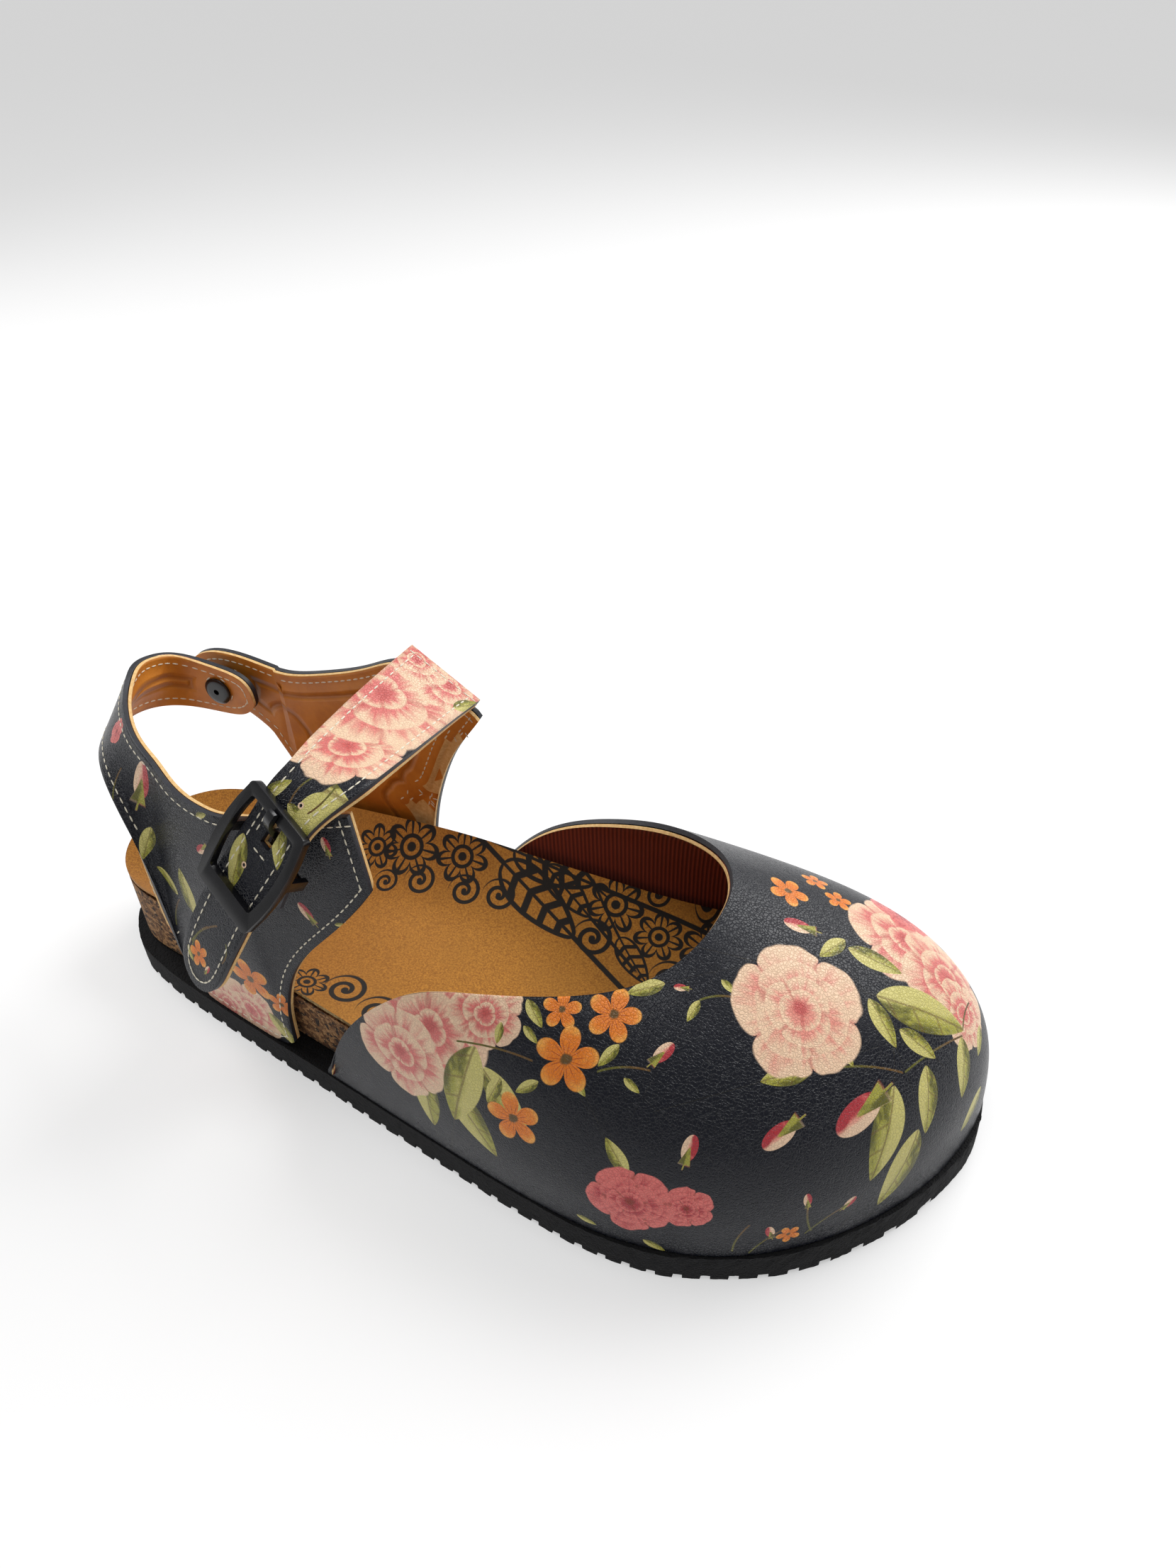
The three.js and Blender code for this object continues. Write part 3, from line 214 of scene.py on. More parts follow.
def soft_piece(name, nodes, body, levels=2, sharp=SHARP, rims=True):
    """A smooth copy that stands for its nodes and rides on a body."""
    nodes = [nodes] if isinstance(nodes, str) else nodes
    piece = welded_copy(name, *nodes)
    marked = crease_and_mark(piece, sharp, rims)
    subdivide(piece, levels)
    note_edge_gap(piece)
    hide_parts(*nodes)
    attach(piece, body)
    print(name, len(piece.data.polygons), "faces;", marked, "rim faces before smoothing")
    return piece


# %% [markdown]
# ## Wires
# A material is a tree of small nodes joined by wires. Written out one node at a time it is long, so a Wire
# stands for a value on its way through the tree: adding or multiplying two wires makes the Math node for it.

# %% Wires for material trees
class Wire:
    def __init__(self, tree, socket):
        self.tree = tree
        self.socket = socket

    def math(self, operation, *others):
        node = self.tree.nodes.new("ShaderNodeMath")
        node.operation = operation
        for slot, value in zip(node.inputs, (self,) + others):
            feed(self.tree, slot, value)
        return Wire(self.tree, node.outputs[0])

    def __add__(self, other):
        return self.math("ADD", other)

    def __sub__(self, other):
        return self.math("SUBTRACT", other)

    def __mul__(self, other):
        return self.math("MULTIPLY", other)

    def __pow__(self, other):
        return self.math("POWER", other)

    def flip(self):
        """One minus the value."""
        return self * -1.0 + 1.0

    def size(self):
        return self.math("ABSOLUTE")

    def sin(self):
        return self.math("SINE")

    def fraction(self):
        return self.math("FRACT")

    def over(self, low, high):
        """0 below low, 1 above high, and a soft step between them."""
        node = self.tree.nodes.new("ShaderNodeMapRange")
        node.interpolation_type = "SMOOTHSTEP"
        feed(self.tree, node.inputs["Value"], self)
        node.inputs["From Min"].default_value = low
        node.inputs["From Max"].default_value = high
        return Wire(self.tree, node.outputs[0])

    def under(self, low, high):
        return self.over(low, high).flip()


def feed(tree, slot, value):
    if isinstance(value, Wire):
        tree.links.new(value.socket, slot)
    elif isinstance(value, (tuple, list)) and len(value) == 3 and slot.type == "RGBA":
        slot.default_value = (*value, 1)
    else:
        slot.default_value = value


def mixed(tree, factor, first, second):
    """The first colour where factor is 0, the second where it is 1."""
    node = tree.nodes.new("ShaderNodeMix")
    node.data_type = "RGBA"
    feed(tree, node.inputs[0], factor)
    feed(tree, node.inputs[6], first)
    feed(tree, node.inputs[7], second)
    return Wire(tree, node.outputs[2])


def noise(tree, place, scale, detail=2.0, roughness=0.5):
    node = tree.nodes.new("ShaderNodeTexNoise")
    feed(tree, node.inputs["Vector"], place)
    node.inputs["Scale"].default_value = scale
    node.inputs["Detail"].default_value = detail
    node.inputs["Roughness"].default_value = roughness
    return Wire(tree, node.outputs[0])


def cells(tree, place, scale, feature="F1", output="Distance"):
    node = tree.nodes.new("ShaderNodeTexVoronoi")
    node.feature = feature
    feed(tree, node.inputs["Vector"], place)
    node.inputs["Scale"].default_value = scale
    return Wire(tree, node.outputs[output])


def vector(tree, x, y, z):
    node = tree.nodes.new("ShaderNodeCombineXYZ")
    for slot, value in zip(node.inputs, (x, y, z)):
        feed(tree, slot, value)
    return Wire(tree, node.outputs[0])


def bumped(tree, height, strength, distance, under=None):
    node = tree.nodes.new("ShaderNodeBump")
    node.inputs["Strength"].default_value = strength
    node.inputs["Distance"].default_value = distance
    feed(tree, node.inputs["Height"], height)
    if under is not None:
        feed(tree, node.inputs["Normal"], under)
    return Wire(tree, node.outputs[0])


def new_finish(name, **settings):
    """A material with its shader, its tree and the wire that carries object coordinates."""
    material = bpy.data.materials.new(name)
    material.use_nodes = True
    tree = material.node_tree
    shader = tree.nodes["Principled BSDF"]
    for key, value in settings.items():
        shader.inputs[key.replace("_", " ")].default_value = value
    place = Wire(tree, tree.nodes.new("ShaderNodeTexCoord").outputs["Object"])
    return material, tree, shader, place


# %% [markdown]
# ## Motifs of the print
# The print is painted by nodes, so it stays sharp at any distance. Each kind of motif is one node group
# that reads its own small coordinate frame: u along the motif, v across it and w off the leather, each from
# -1 to 1. It answers with a colour and with a mask that is 1 on the motif.

# %% Colours of the print
CREAM = (0.80, 0.56, 0.38)
PALE_PINK = (0.72, 0.27, 0.21)
PEONY_ROOT = (0.66, 0.17, 0.15)
ROSE_SHADE = (0.52, 0.10, 0.09)
PINK = (0.70, 0.16, 0.14)
DEEP_ROSE = (0.42, 0.035, 0.045)
RED_BROWN = (0.26, 0.025, 0.012)
ORANGE = (0.74, 0.20, 0.02)
PALE_ORANGE = (0.84, 0.38, 0.07)
LEAF_LIGHT = (0.36, 0.34, 0.055)
LEAF_PALE = (0.58, 0.52, 0.17)
LEAF_DARK = (0.12, 0.115, 0.018)
LEAF_BROWN = (0.13, 0.07, 0.02)


# %% Motif groups
def motif_group(name, draw):
    tree = bpy.data.node_groups.new(name, "ShaderNodeTree")
    tree.interface.new_socket("Place", in_out="INPUT", socket_type="NodeSocketVector")
    tree.interface.new_socket("Colour", in_out="OUTPUT", socket_type="NodeSocketColor")
    tree.interface.new_socket("Mask", in_out="OUTPUT", socket_type="NodeSocketFloat")
    place = Wire(tree, tree.nodes.new("NodeGroupInput").outputs[0])
    parts = tree.nodes.new("ShaderNodeSeparateXYZ")
    feed(tree, parts.inputs[0], place)
    u, v, w = [Wire(tree, socket) for socket in parts.outputs]
    colour, mask = draw(tree, place, u, v)
    result = tree.nodes.new("NodeGroupOutput")
    feed(tree, result.inputs[0], colour)
    feed(tree, result.inputs[1], mask * w.size().under(0.9, 1.0))
    return tree


def polar(u, v):
    radius = (u * u + v * v) ** 0.5
    angle = v.math("ARCTAN2", u)
    return radius, angle


def flower(rings, tip, root, fold):
    """Rings of round petals, the outer ones first: each petal is pale at its tip and deep at its root."""
    def draw(tree, place, u, v):
        radius, angle = polar(u, v)
        wobble = noise(tree, place, 1.3, 2) - 0.5
        rays = vector(tree, angle.math("COSINE") * 2.2, angle.sin() * 2.2, radius * 0.8)
        streak = noise(tree, rays, 3.0, 2) - 0.5
        colour = outline = None
        for reach, petals, phase in rings:
            lobe = (angle * (petals / 2) + wobble * 2.0 + phase).sin().size()
            edge = (lobe ** 0.4 * 0.24 + wobble * 0.34 + 0.76) * reach
            depth = (edge - radius) * (1 / reach)
            petal = mixed(tree, (depth + streak * 0.8 + wobble * 0.5).over(0.06, 0.50), tip, root)
            petal = mixed(tree, (lobe - depth * 0.3).under(-0.02, 0.20) * 0.6, petal, fold)
            inside = (radius - edge).under(-0.02, 0.02)
            outline = outline or inside
            colour = petal if colour is None else mixed(tree, inside, colour, petal)
        heart = (radius + wobble * 0.2).under(0.05, 0.16)
        return mixed(tree, heart, colour, fold), outline

    return draw


ROSE_RINGS = ((1.0, 5, 0.4), (0.74, 3, 1.9), (0.52, 3, 0.3), (0.32, 2, 1.2))
PEONY_RINGS = ((1.0, 5, 0.4), (0.62, 3, 1.2), (0.30, 3, 0.2))


def blossom(tree, place, u, v):
    radius, angle = polar(u, v)
    lobe = (angle * 2.5).math("COSINE").size() ** 0.55
    edge = lobe * 0.72 + 0.24
    wobble = noise(tree, place, 3.0, 1) - 0.5
    colour = mixed(tree, (radius + wobble * 0.7).over(0.55, 1.05), ORANGE, PALE_ORANGE)
    vein = (angle * 7.5).sin().size().under(0.0, 0.45) * radius.under(0.30, 0.65)
    colour = mixed(tree, vein * 0.8, colour, RED_BROWN)
    colour = mixed(tree, (radius + wobble * 0.2).under(0.12, 0.22), colour, LEAF_BROWN)
    return colour, (radius - edge).under(-0.03, 0.03)


def leaf(tree, place, u, v):
    width = (u * u).flip().math("MAXIMUM", 0.0) ** 0.8 * (u * -0.25 + 1.0)
    wobble = noise(tree, place, 1.9, 2) - 0.5
    side = (v + wobble * 1.3 + u * 0.2).over(-0.25, 0.35)
    colour = mixed(tree, side, LEAF_PALE, LEAF_LIGHT)
    colour = mixed(tree, (v + wobble * 2.4 - u * 0.2).over(0.25, 0.8), colour, LEAF_DARK)
    rib = ((v.size() * 0.5 - u * 1.9).fraction() - 0.5).size().under(0.02, 0.10)
    colour = mixed(tree, rib * v.over(0.0, 0.1) * 0.5, colour, LEAF_BROWN)
    colour = mixed(tree, (v + wobble * 0.1).size().under(0.02, 0.09) * 0.6, colour, LEAF_BROWN)
    return colour, (v.size() - width).under(-0.05, 0.02)


def bud(tree, place, u, v):
    wobble = noise(tree, place, 2.0, 1) - 0.5
    petals = (((u - 0.25) * 1.34) ** 2.0 + (v * 1.15) ** 2.0).under(0.90, 1.0)
    sepals = (v.size() - (u * -0.60 + 0.28)).under(-0.05, 0.03) * u.under(0.20, 0.40) * u.over(-0.75, -0.6)
    stalk = v.size().under(0.05, 0.10) * u.under(-0.5, -0.4)
    pink = mixed(tree, (v + wobble).over(-0.3, 0.4), PINK, CREAM)
    pink = mixed(tree, (v * -1.0 + u * 0.3 + wobble * 1.6).over(0.0, 0.5), pink, DEEP_ROSE)
    green = mixed(tree, (v + wobble).over(-0.2, 0.3), LEAF_LIGHT, LEAF_DARK)
    green_mask = (sepals + stalk * u.over(-1.0, -0.95)).math("MINIMUM", 1.0)
    return mixed(tree, green_mask, pink, green), petals.math("MAXIMUM", green_mask)


def pinhole(tree, place, u, v):
    radius = polar(u, v)[0]
    return mixed(tree, radius.over(0.45, 0.55), (0.005, 0.004, 0.004), CREAM), radius.under(0.9, 1.0)


def stem(tree, place, u, v):
    bend = (u * u - 0.5) * 3.0
    colour = mixed(tree, u.over(-0.5, 0.5), LEAF_DARK, LEAF_BROWN)
    return colour, (v + bend).size().under(0.6, 1.0) * u.size().under(0.95, 1.0)


MOTIFS = {
    "rose": motif_group("print_rose", flower(ROSE_RINGS, CREAM, PALE_PINK, ROSE_SHADE)),
    "deep": motif_group("print_deep_rose", flower(ROSE_RINGS, PINK, DEEP_ROSE, RED_BROWN)),
    "peony": motif_group("print_peony", flower(PEONY_RINGS, CREAM, PEONY_ROOT, ROSE_SHADE)),
    "blossom": motif_group("print_blossom", blossom),
    "leaf": motif_group("print_leaf", leaf),
    "bud": motif_group("print_bud", bud),
    "stem": motif_group("print_stem", stem),
    "pinhole": motif_group("print_pinhole", pinhole),
}
print("motifs:", ", ".join(MOTIFS))

# %% [markdown]
# ## Placing the motifs
# A motif is placed by two points on the leather in millimetres: a round one by its middle and its edge, a
# long one by its two ends. The nearest face of the piece gives the direction off the leather. A Mapping
# node of type Texture then turns object coordinates into the motif's own u, v and w.

# %% Place a motif
ROUND = ("rose", "deep", "peony", "blossom", "pinhole", "lace", "scroll")
SLIMNESS = {"leaf": 0.40, "bud": 0.46, "plume": 0.42}
STEM_WIDTH = 0.30 * MM


def surface_of(*pieces):
    bm = bmesh.new()
    for piece in pieces:
        bm.from_mesh(piece.data)
    tree = BVHTree.FromBMesh(bm)
    bm.free()
    return tree


def motif_frame(kind, first, second, surface):
    """The middle, the turn and the scale of a motif's own coordinates."""
    a, b = Vector(first) * MM, Vector(second) * MM
    middle = a if kind in ROUND else (a + b) / 2
    reach = (b - a).length if kind in ROUND else (b - a).length / 2
    off = surface.find_nearest(middle)[1]
    along = (b - a) - (b - a).dot(off) * off
    along.normalize()
    width = STEM_WIDTH if kind == "stem" else reach * SLIMNESS.get(kind, 1.0)
    turn = Matrix((along, off.cross(along), off)).transposed().to_euler()
    return middle, turn, (reach, width, max(6 * MM, reach * 0.75))


def printed(tree, place, base, motifs, surface, groups):
    """Lays the motifs over a base colour, the first at the bottom."""
    start = tree.nodes.new("ShaderNodeRGB")
    colour = base
    if not isinstance(base, Wire):
        start.outputs[0].default_value = (*base, 1)
        colour = Wire(tree, start.outputs[0])
    for kind, first, second in motifs:
        middle, turn, scale = motif_frame(kind, first, second, surface)
        queued = tree.nodes.new("ShaderNodeVectorMath")
        queued.operation = "MULTIPLY_ADD"
        feed(tree, queued.inputs[0], colour)
        queued.inputs[1].default_value = (1e-9, 1e-9, 1e-9)
        feed(tree, queued.inputs[2], place)
        mapping = tree.nodes.new("ShaderNodeMapping")
        mapping.vector_type = "TEXTURE"
        tree.links.new(queued.outputs[0], mapping.inputs["Vector"])
        mapping.inputs["Location"].default_value = middle
        mapping.inputs["Rotation"].default_value = turn
        mapping.inputs["Scale"].default_value = scale
        group = tree.nodes.new("ShaderNodeGroup")
        group.node_tree = groups[kind]
        tree.links.new(mapping.outputs[0], group.inputs[0])
        colour = mixed(tree, Wire(tree, group.outputs[1]), colour, Wire(tree, group.outputs[0]))
    return colour


# %% [markdown]
# ## Printed leather
# The leather is nearly black with a touch of blue, finished to a soft shine. Its grain is a net of fine
# creases about half a millimetre apart: small cells, bent by noise, used as height. The print lies on top
# and keeps the grain, and painted shade darkens the colour a little in the creases.

# %% Printed leather
NAVY = (0.0035, 0.0045, 0.0095)


def leather_grain(tree, place, strength):
    warp = tree.nodes.new("ShaderNodeVectorMath")
    warp.operation = "MULTIPLY_ADD"
    bend = tree.nodes.new("ShaderNodeTexNoise")
    bend.inputs["Scale"].default_value = 600
    feed(tree, bend.inputs["Vector"], place)
    tree.links.new(bend.outputs["Color"], warp.inputs[0])
    warp.inputs[1].default_value = (0.0012, 0.0012, 0.0012)
    feed(tree, warp.inputs[2], place)
    crease = cells(tree, Wire(tree, warp.outputs[0]), 1300, "DISTANCE_TO_EDGE").over(0.0, 0.16)
    fine = noise(tree, place, 3500, 2)
    rolling = noise(tree, place, 220, 2)
    return crease, bumped(tree, crease * 0.6 + fine * 0.3 + rolling * 0.5, strength, 0.00018)


def printed_leather(name, motifs, surface):
    material, tree, shader, place = new_finish(name)
    shader.inputs["Specular IOR Level"].default_value = 0.30
    crease, normal = leather_grain(tree, place, 0.85)
    colour = printed(tree, place, NAVY, motifs, surface, MOTIFS)
    worn = noise(tree, place, 90, 3)
    # painted shade: the colour darkens a little along the grain's creases
    colour = mixed(tree, crease.flip() * 0.10, colour, (0.004, 0.004, 0.006))
    feed(tree, shader.inputs["Base Color"], colour)
    feed(tree, shader.inputs["Roughness"], worn * 0.16 + 0.22)
    feed(tree, shader.inputs["Normal"], normal)
    return material


# %% [markdown]
# ## Plain finishes
# The other materials need no print. Each is two close tones clouded by noise, with a finer bump over them.
# Cork and rubber are built from cells, because both are made of grains.

# %% Plain finishes: lining, cut edges, thread, metal, rubber, cork
def mottled(name, dark, light, scale, roughness, bump_scale, bump, distance=0.0002, **settings):
    """A finish of two close tones, clouded at one scale and bumped at another."""
    material, tree, shader, place = new_finish(name, Roughness=roughness, **settings)
    cloud = noise(tree, place, scale, 4, 0.6)
    feed(tree, shader.inputs["Base Color"], mixed(tree, cloud.over(0.3, 0.7), dark, light))
    rough = noise(tree, place, bump_scale, 3, 0.6)
    feed(tree, shader.inputs["Normal"], bumped(tree, rough, bump, distance))
    return material


PADDING_LINE = 6.6  # millimetres from a sheet's cut edge to the padding


def lining_finish():
    """Smooth tan leather with a debossed line where the padding under it begins; painted shade darkens the
    line.
    """
    material, tree, shader, place = new_finish("lining_leather", Roughness=0.5)
    gap = tree.nodes.new("ShaderNodeAttribute")
    gap.attribute_name = "edge_gap"
    gap = Wire(tree, gap.outputs["Fac"])
    groove_shade = (gap - PADDING_LINE).size().under(0.25, 0.95)
    cloud = noise(tree, place, 130, 4, 0.6)
    colour = mixed(tree, cloud.over(0.3, 0.7), (0.46, 0.15, 0.012), (0.58, 0.21, 0.020))
    # painted shade: the colour darkens along the line where the padding begins, as shade lying in its groove
    colour = mixed(tree, groove_shade * 0.55, colour, (0.25, 0.075, 0.008))
    feed(tree, shader.inputs["Base Color"], colour)
    grain = noise(tree, place, 1800, 3, 0.6)
    soft = (gap - PADDING_LINE).size().over(0.0, 1.6)
    feed(tree, shader.inputs["Normal"], bumped(tree, soft, 0.8, 0.0008, bumped(tree, grain, 0.3, 0.0002)))
    return material


lining_leather = lining_finish()
lining_edge = mottled("lining_edge", (0.60, 0.36, 0.13), (0.74, 0.50, 0.22), 900, 0.7, 2500, 0.5)
dark_edge = mottled("dark_edge", (0.010, 0.011, 0.016), (0.020, 0.021, 0.028), 900, 0.5, 2500, 0.4)
thread = mottled("thread", (0.62, 0.56, 0.42), (0.84, 0.79, 0.66), 3000, 0.75, 6000, 0.6)
foam = mottled("foam", (0.72, 0.64, 0.40), (0.82, 0.76, 0.54), 500, 0.95, 2500, 0.6)
stiffener = mottled("stiffener", (0.50, 0.46, 0.38), (0.66, 0.62, 0.52), 500, 0.95, 2500, 0.4)
enamel = mottled("black_enamel", (0.003, 0.003, 0.004), (0.006, 0.006, 0.008), 300, 0.24, 700, 0.10, 0.0001)
jute = mottled("jute", (0.16, 0.10, 0.035), (0.42, 0.29, 0.12), 900, 0.95, 1500, 0.9, 0.0005)


def rubber_finish():
    material, tree, shader, place = new_finish("foamed_rubber", Roughness=0.85)
    pores = cells(tree, place, 1500)
    colour = mixed(tree, noise(tree, place, 300, 4), (0.0025, 0.0025, 0.003), (0.009, 0.009, 0.010))
    shader.inputs["Specular IOR Level"].default_value = 0.25
    feed(tree, shader.inputs["Base Color"], colour)
    height = pores.over(0.0, 0.6) * 0.6 + noise(tree, place, 700, 4, 0.7) * 0.8
    feed(tree, shader.inputs["Normal"], bumped(tree, height, 0.8, 0.0005))
    return material


def cork_finish():
    material, tree, shader, place = new_finish("cork", Roughness=0.85)
    grain = cells(tree, place, 950, "F1", "Color")
    tone = tree.nodes.new("ShaderNodeSeparateColor")
    feed(tree, tone.inputs[0], grain)
    pick = Wire(tree, tone.outputs[0])
    colour = mixed(tree, pick.over(0.1, 0.9), (0.105, 0.042, 0.013), (0.37, 0.19, 0.075))
    colour = mixed(tree, Wire(tree, tone.outputs[1]).over(0.80, 0.86), colour, (0.028, 0.014, 0.008))
    colour = mixed(tree, noise(tree, place, 1600, 3).over(0.60, 0.70), colour, (0.52, 0.33, 0.16))
    feed(tree, shader.inputs["Base Color"], colour)
    gaps = cells(tree, place, 950, "DISTANCE_TO_EDGE").over(0.0, 0.12)
    feed(tree, shader.inputs["Normal"], bumped(tree, gaps * 0.7 + pick * 0.5, 0.7, 0.0004))
    return material


def ribbed_textile():
    material, tree, shader, place = new_finish("ribbed_textile", Roughness=0.9)
    parts = tree.nodes.new("ShaderNodeSeparateXYZ")
    feed(tree, parts.inputs[0], place)
    rib = (Wire(tree, parts.outputs[0]) * 5200.0 + Wire(tree, parts.outputs[1]) * 2600.0).sin()
    colour = mixed(tree, rib.over(-0.6, 0.8), (0.13, 0.017, 0.008), (0.25, 0.042, 0.017))
    feed(tree, shader.inputs["Base Color"], colour)
    feed(tree, shader.inputs["Normal"], bumped(tree, rib * 0.5 + 0.5, 0.7, 0.0003))
    return material


rubber = rubber_finish()
cork = cork_finish()
textile = ribbed_textile()


def dress(piece, *materials):
    """Gives the piece its materials and keeps which face uses which slot."""
    slots = [polygon.material_index for polygon in piece.data.polygons]
    piece.data.materials.clear()
    for material in materials:
        piece.data.materials.append(material)
    piece.data.polygons.foreach_set("material_index", [min(i, len(materials) - 1) for i in slots])


def dress_and_slot(piece, slot, *materials):
    dress(piece, *materials)


# %% [markdown]
# ## Toe cover
# One sheet of leather is pulled over the last, so the shape is a smooth dome with no seam. It is a copy of
# its node, smoothed three times. The ribbed textile inside ends in a narrow tan binding at the topline.

# %% Toe cover
TOE_PRINT = [
    ("leaf", (10, -50, 38), (24, -53, 20)), ("leaf", (20, -49, 46), (33, -51, 33)),
    ("leaf", (3, -50, 36), (4, -53, 17)), ("leaf", (112, -16, 30), (108, -28, 14)),
    ("peony", (98, 22, 49), (110, 27, 42)), ("peony", (108, 18, 41), (117, 24, 33)),
    ("peony", (114, 13, 38), (119, 17, 32)), ("deep", (95, 34, 45), (101, 37, 40)),
    ("peony", (6, -46, 50), (20, -43, 56)), ("peony", (-3, -47, 38), (8, -48, 46)),
    ("peony", (19, -43, 57), (27, -40, 59)),
    ("stem", (13, -47, 50), (32, -46, 51)), ("stem", (46, -44, 52), (57, -40, 53)),
    ("stem", (62, -24, 61), (70, -19, 59)), ("stem", (106, -11, 42), (116, 8, 38)),
    ("stem", (91, -21, 48), (106, -11, 42)), ("stem", (80, -50, 11), (83, -48, 21)),
    ("stem", (94, -41, 14), (102, -33, 20)), ("stem", (95, -40, 14), (94, -40, 26)),
    ("bud", (88, -45, 14), (86, -44, 19)), ("bud", (100, -35, 18), (103, -32, 21)),
    ("bud", (94, -40, 22), (93, -39, 27)), ("stem", (84, -49, 10), (90, -43, 18)),
    ("stem", (116, 9, 39), (116, 18, 39)),
    ("leaf", (87, 8, 55), (100, 10, 50)), ("leaf", (96, 0, 51), (116, 9, 38)),
    ("leaf", (95, -2, 52), (103, -8, 45)), ("leaf", (103, -4, 47), (112, -3, 40)),
    ("leaf", (116, 7, 38), (120, -2, 28)), ("leaf", (110, -6, 40), (114, -15, 28)),
    ("leaf", (88, -23, 49), (79, -32, 50)), ("leaf", (91, -15, 50), (96, -18, 47)),
    ("leaf", (86, 10, 56), (82, 1, 57)), ("leaf", (120, 16, 34), (121, 9, 31)),
    ("leaf", (122, 8, 22), (121, -3, 17)), ("leaf", (57, -54, 33), (51, -51, 40)),
    ("leaf", (105, -15, 41), (105, -29, 24)), ("leaf", (18, -47, 50), (12, -51, 25)),
    ("leaf", (23, -43, 56), (23, -46, 52)), ("leaf", (28, -42, 56), (32, -44, 54)),
    ("leaf", (49, -38, 55), (46, -43, 52)), ("leaf", (34, -48, 47), (29, -50, 43)),
    ("leaf", (41, -46, 50), (45, -48, 47)), ("leaf", (25, -49, 45), (22, -51, 37)),
    ("leaf", (62, -24, 60), (61, -29, 58)), ("leaf", (65, -18, 62), (69, -19, 60)),
    ("leaf", (52, -43, 51), (56, -44, 49)), ("leaf", (54, -24, 62), (47, -29, 61)),
    ("leaf", (27, -38, 60), (32, -41, 56)), ("leaf", (45, -56, 13), (50, -56, 12)),
    ("leaf", (61, -55, 12), (66, -54, 9)),
    ("blossom", (46, -34, 59), (52, -32, 59)), ("blossom", (35, -37, 59), (39, -35, 60)),
    ("blossom", (39, -44, 52), (46, -42, 54)), ("blossom", (29, -52, 36), (35, -52, 40)),
    ("blossom", (70, 16, 60), (75, 17, 58)), ("blossom", (81, 23, 55), (84, 25, 54)),
    ("blossom", (74, 27, 55), (77, 29, 54)), ("blossom", (91, -43, 15), (93, -42, 17)),
    ("rose", (82, -14, 55), (95, -6, 51)), ("deep", (70, -52, 26), (76, -51, 27)),
    ("deep", (58, -55, 25), (67, -53, 29)),
    ("bud", (60, -23, 62), (56, -24, 62)), ("bud", (56, -40, 53), (60, -34, 56)),
    ("bud", (81, 8, 58), (72, 5, 61)), ("bud", (89, -31, 43), (83, -41, 40)),
    ("bud", (105, -15, 42), (96, -30, 38)), ("bud", (68, -50, 36), (69, -45, 43)),
    ("leaf", (60, 36, 50), (72, 38, 42)), ("leaf", (44, 38, 46), (52, 42, 34)),
    ("rose", (30, 40, 36), (38, 41, 42)), ("blossom", (8, 37, 30), (13, 37, 34)),
    ("peony", (70, 44, 25), (80, 42, 30)), ("bud", (0, 36, 20), (6, 37, 26)),
]
toe_cover = soft_piece("toe_cover", "toe_cover_leather", "clog_body", 3)
toe_cover_finish = printed_leather("printed_toe_leather", TOE_PRINT, surface_of(toe_cover))
dress_and_slot(toe_cover, "printed_leather", toe_cover_finish, dark_edge)
toe_lining = soft_piece("toe_lining", "toe_cover_lining", "clog_body", 2)
dress_and_slot(toe_lining, "textile_lining", textile, lining_edge)
toe_puff = soft_piece("toe_puff", "toe_puff_stiffener", "clog_body", 2)
dress(toe_puff, stiffener, stiffener)

# %% [markdown]
# ## Two sheets that meet at a fold
# The heel flap is the end of the inner quarter, and the strap's loose end is the end of the strap. On the
# real shoe each pair is one sheet. Their copies are joined into one with Bridge Edge Loops.

# %% Bridge two copies into one sheet
def bridged_sheet(name, node, other, near, start, end, levels=2):
    """Joins the ends of two sheets that face each other across a small gap near a point."""
    pieces = [welded_copy(name, node), welded_copy(name + "_end", other)]
    near = Vector(near) * MM
    axis = (Vector(end) - Vector(start)).normalized()
    for piece in pieces:
        crease_and_mark(piece)
        bm = bmesh.new()
        bm.from_mesh(piece.data)
        gone = [
            f for f in bm.faces
            if f.material_index == 1 and abs(f.normal.dot(axis)) > 0.6
            and abs((f.calc_center_median() - near).dot(axis)) < 3.5 * MM
            and (f.calc_center_median() - near).length < 20 * MM
        ]
        print(piece.name, "opened", len(gone), "faces")
        bmesh.ops.delete(bm, geom=gone, context="FACES")
        bm.to_mesh(piece.data)
        bm.free()
    activate(*pieces)
    bpy.ops.object.join()
    piece = bpy.context.view_layer.objects.active
    bpy.ops.object.mode_set(mode="EDIT")
    bpy.ops.mesh.select_all(action="DESELECT")
    bpy.ops.mesh.select_mode(type="EDGE")
    bpy.ops.mesh.select_non_manifold()
    bpy.ops.mesh.bridge_edge_loops()
    bpy.ops.mesh.select_all(action="SELECT")
    bpy.ops.mesh.normals_make_consistent(inside=False)
    bpy.ops.object.mode_set(mode="OBJECT")
    crease_and_mark(piece)
    subdivide(piece, levels)
    note_edge_gap(piece)
    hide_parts(node, other)
    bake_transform(piece)
    return piece


# %% [markdown]
# ## Outer quarter
# Printed leather outside, tan lining inside and a foam padding between them, all cut to one outline that runs
# on as the heel sling. Each is a smoothed copy of its own node, so the layers keep their true thickness.

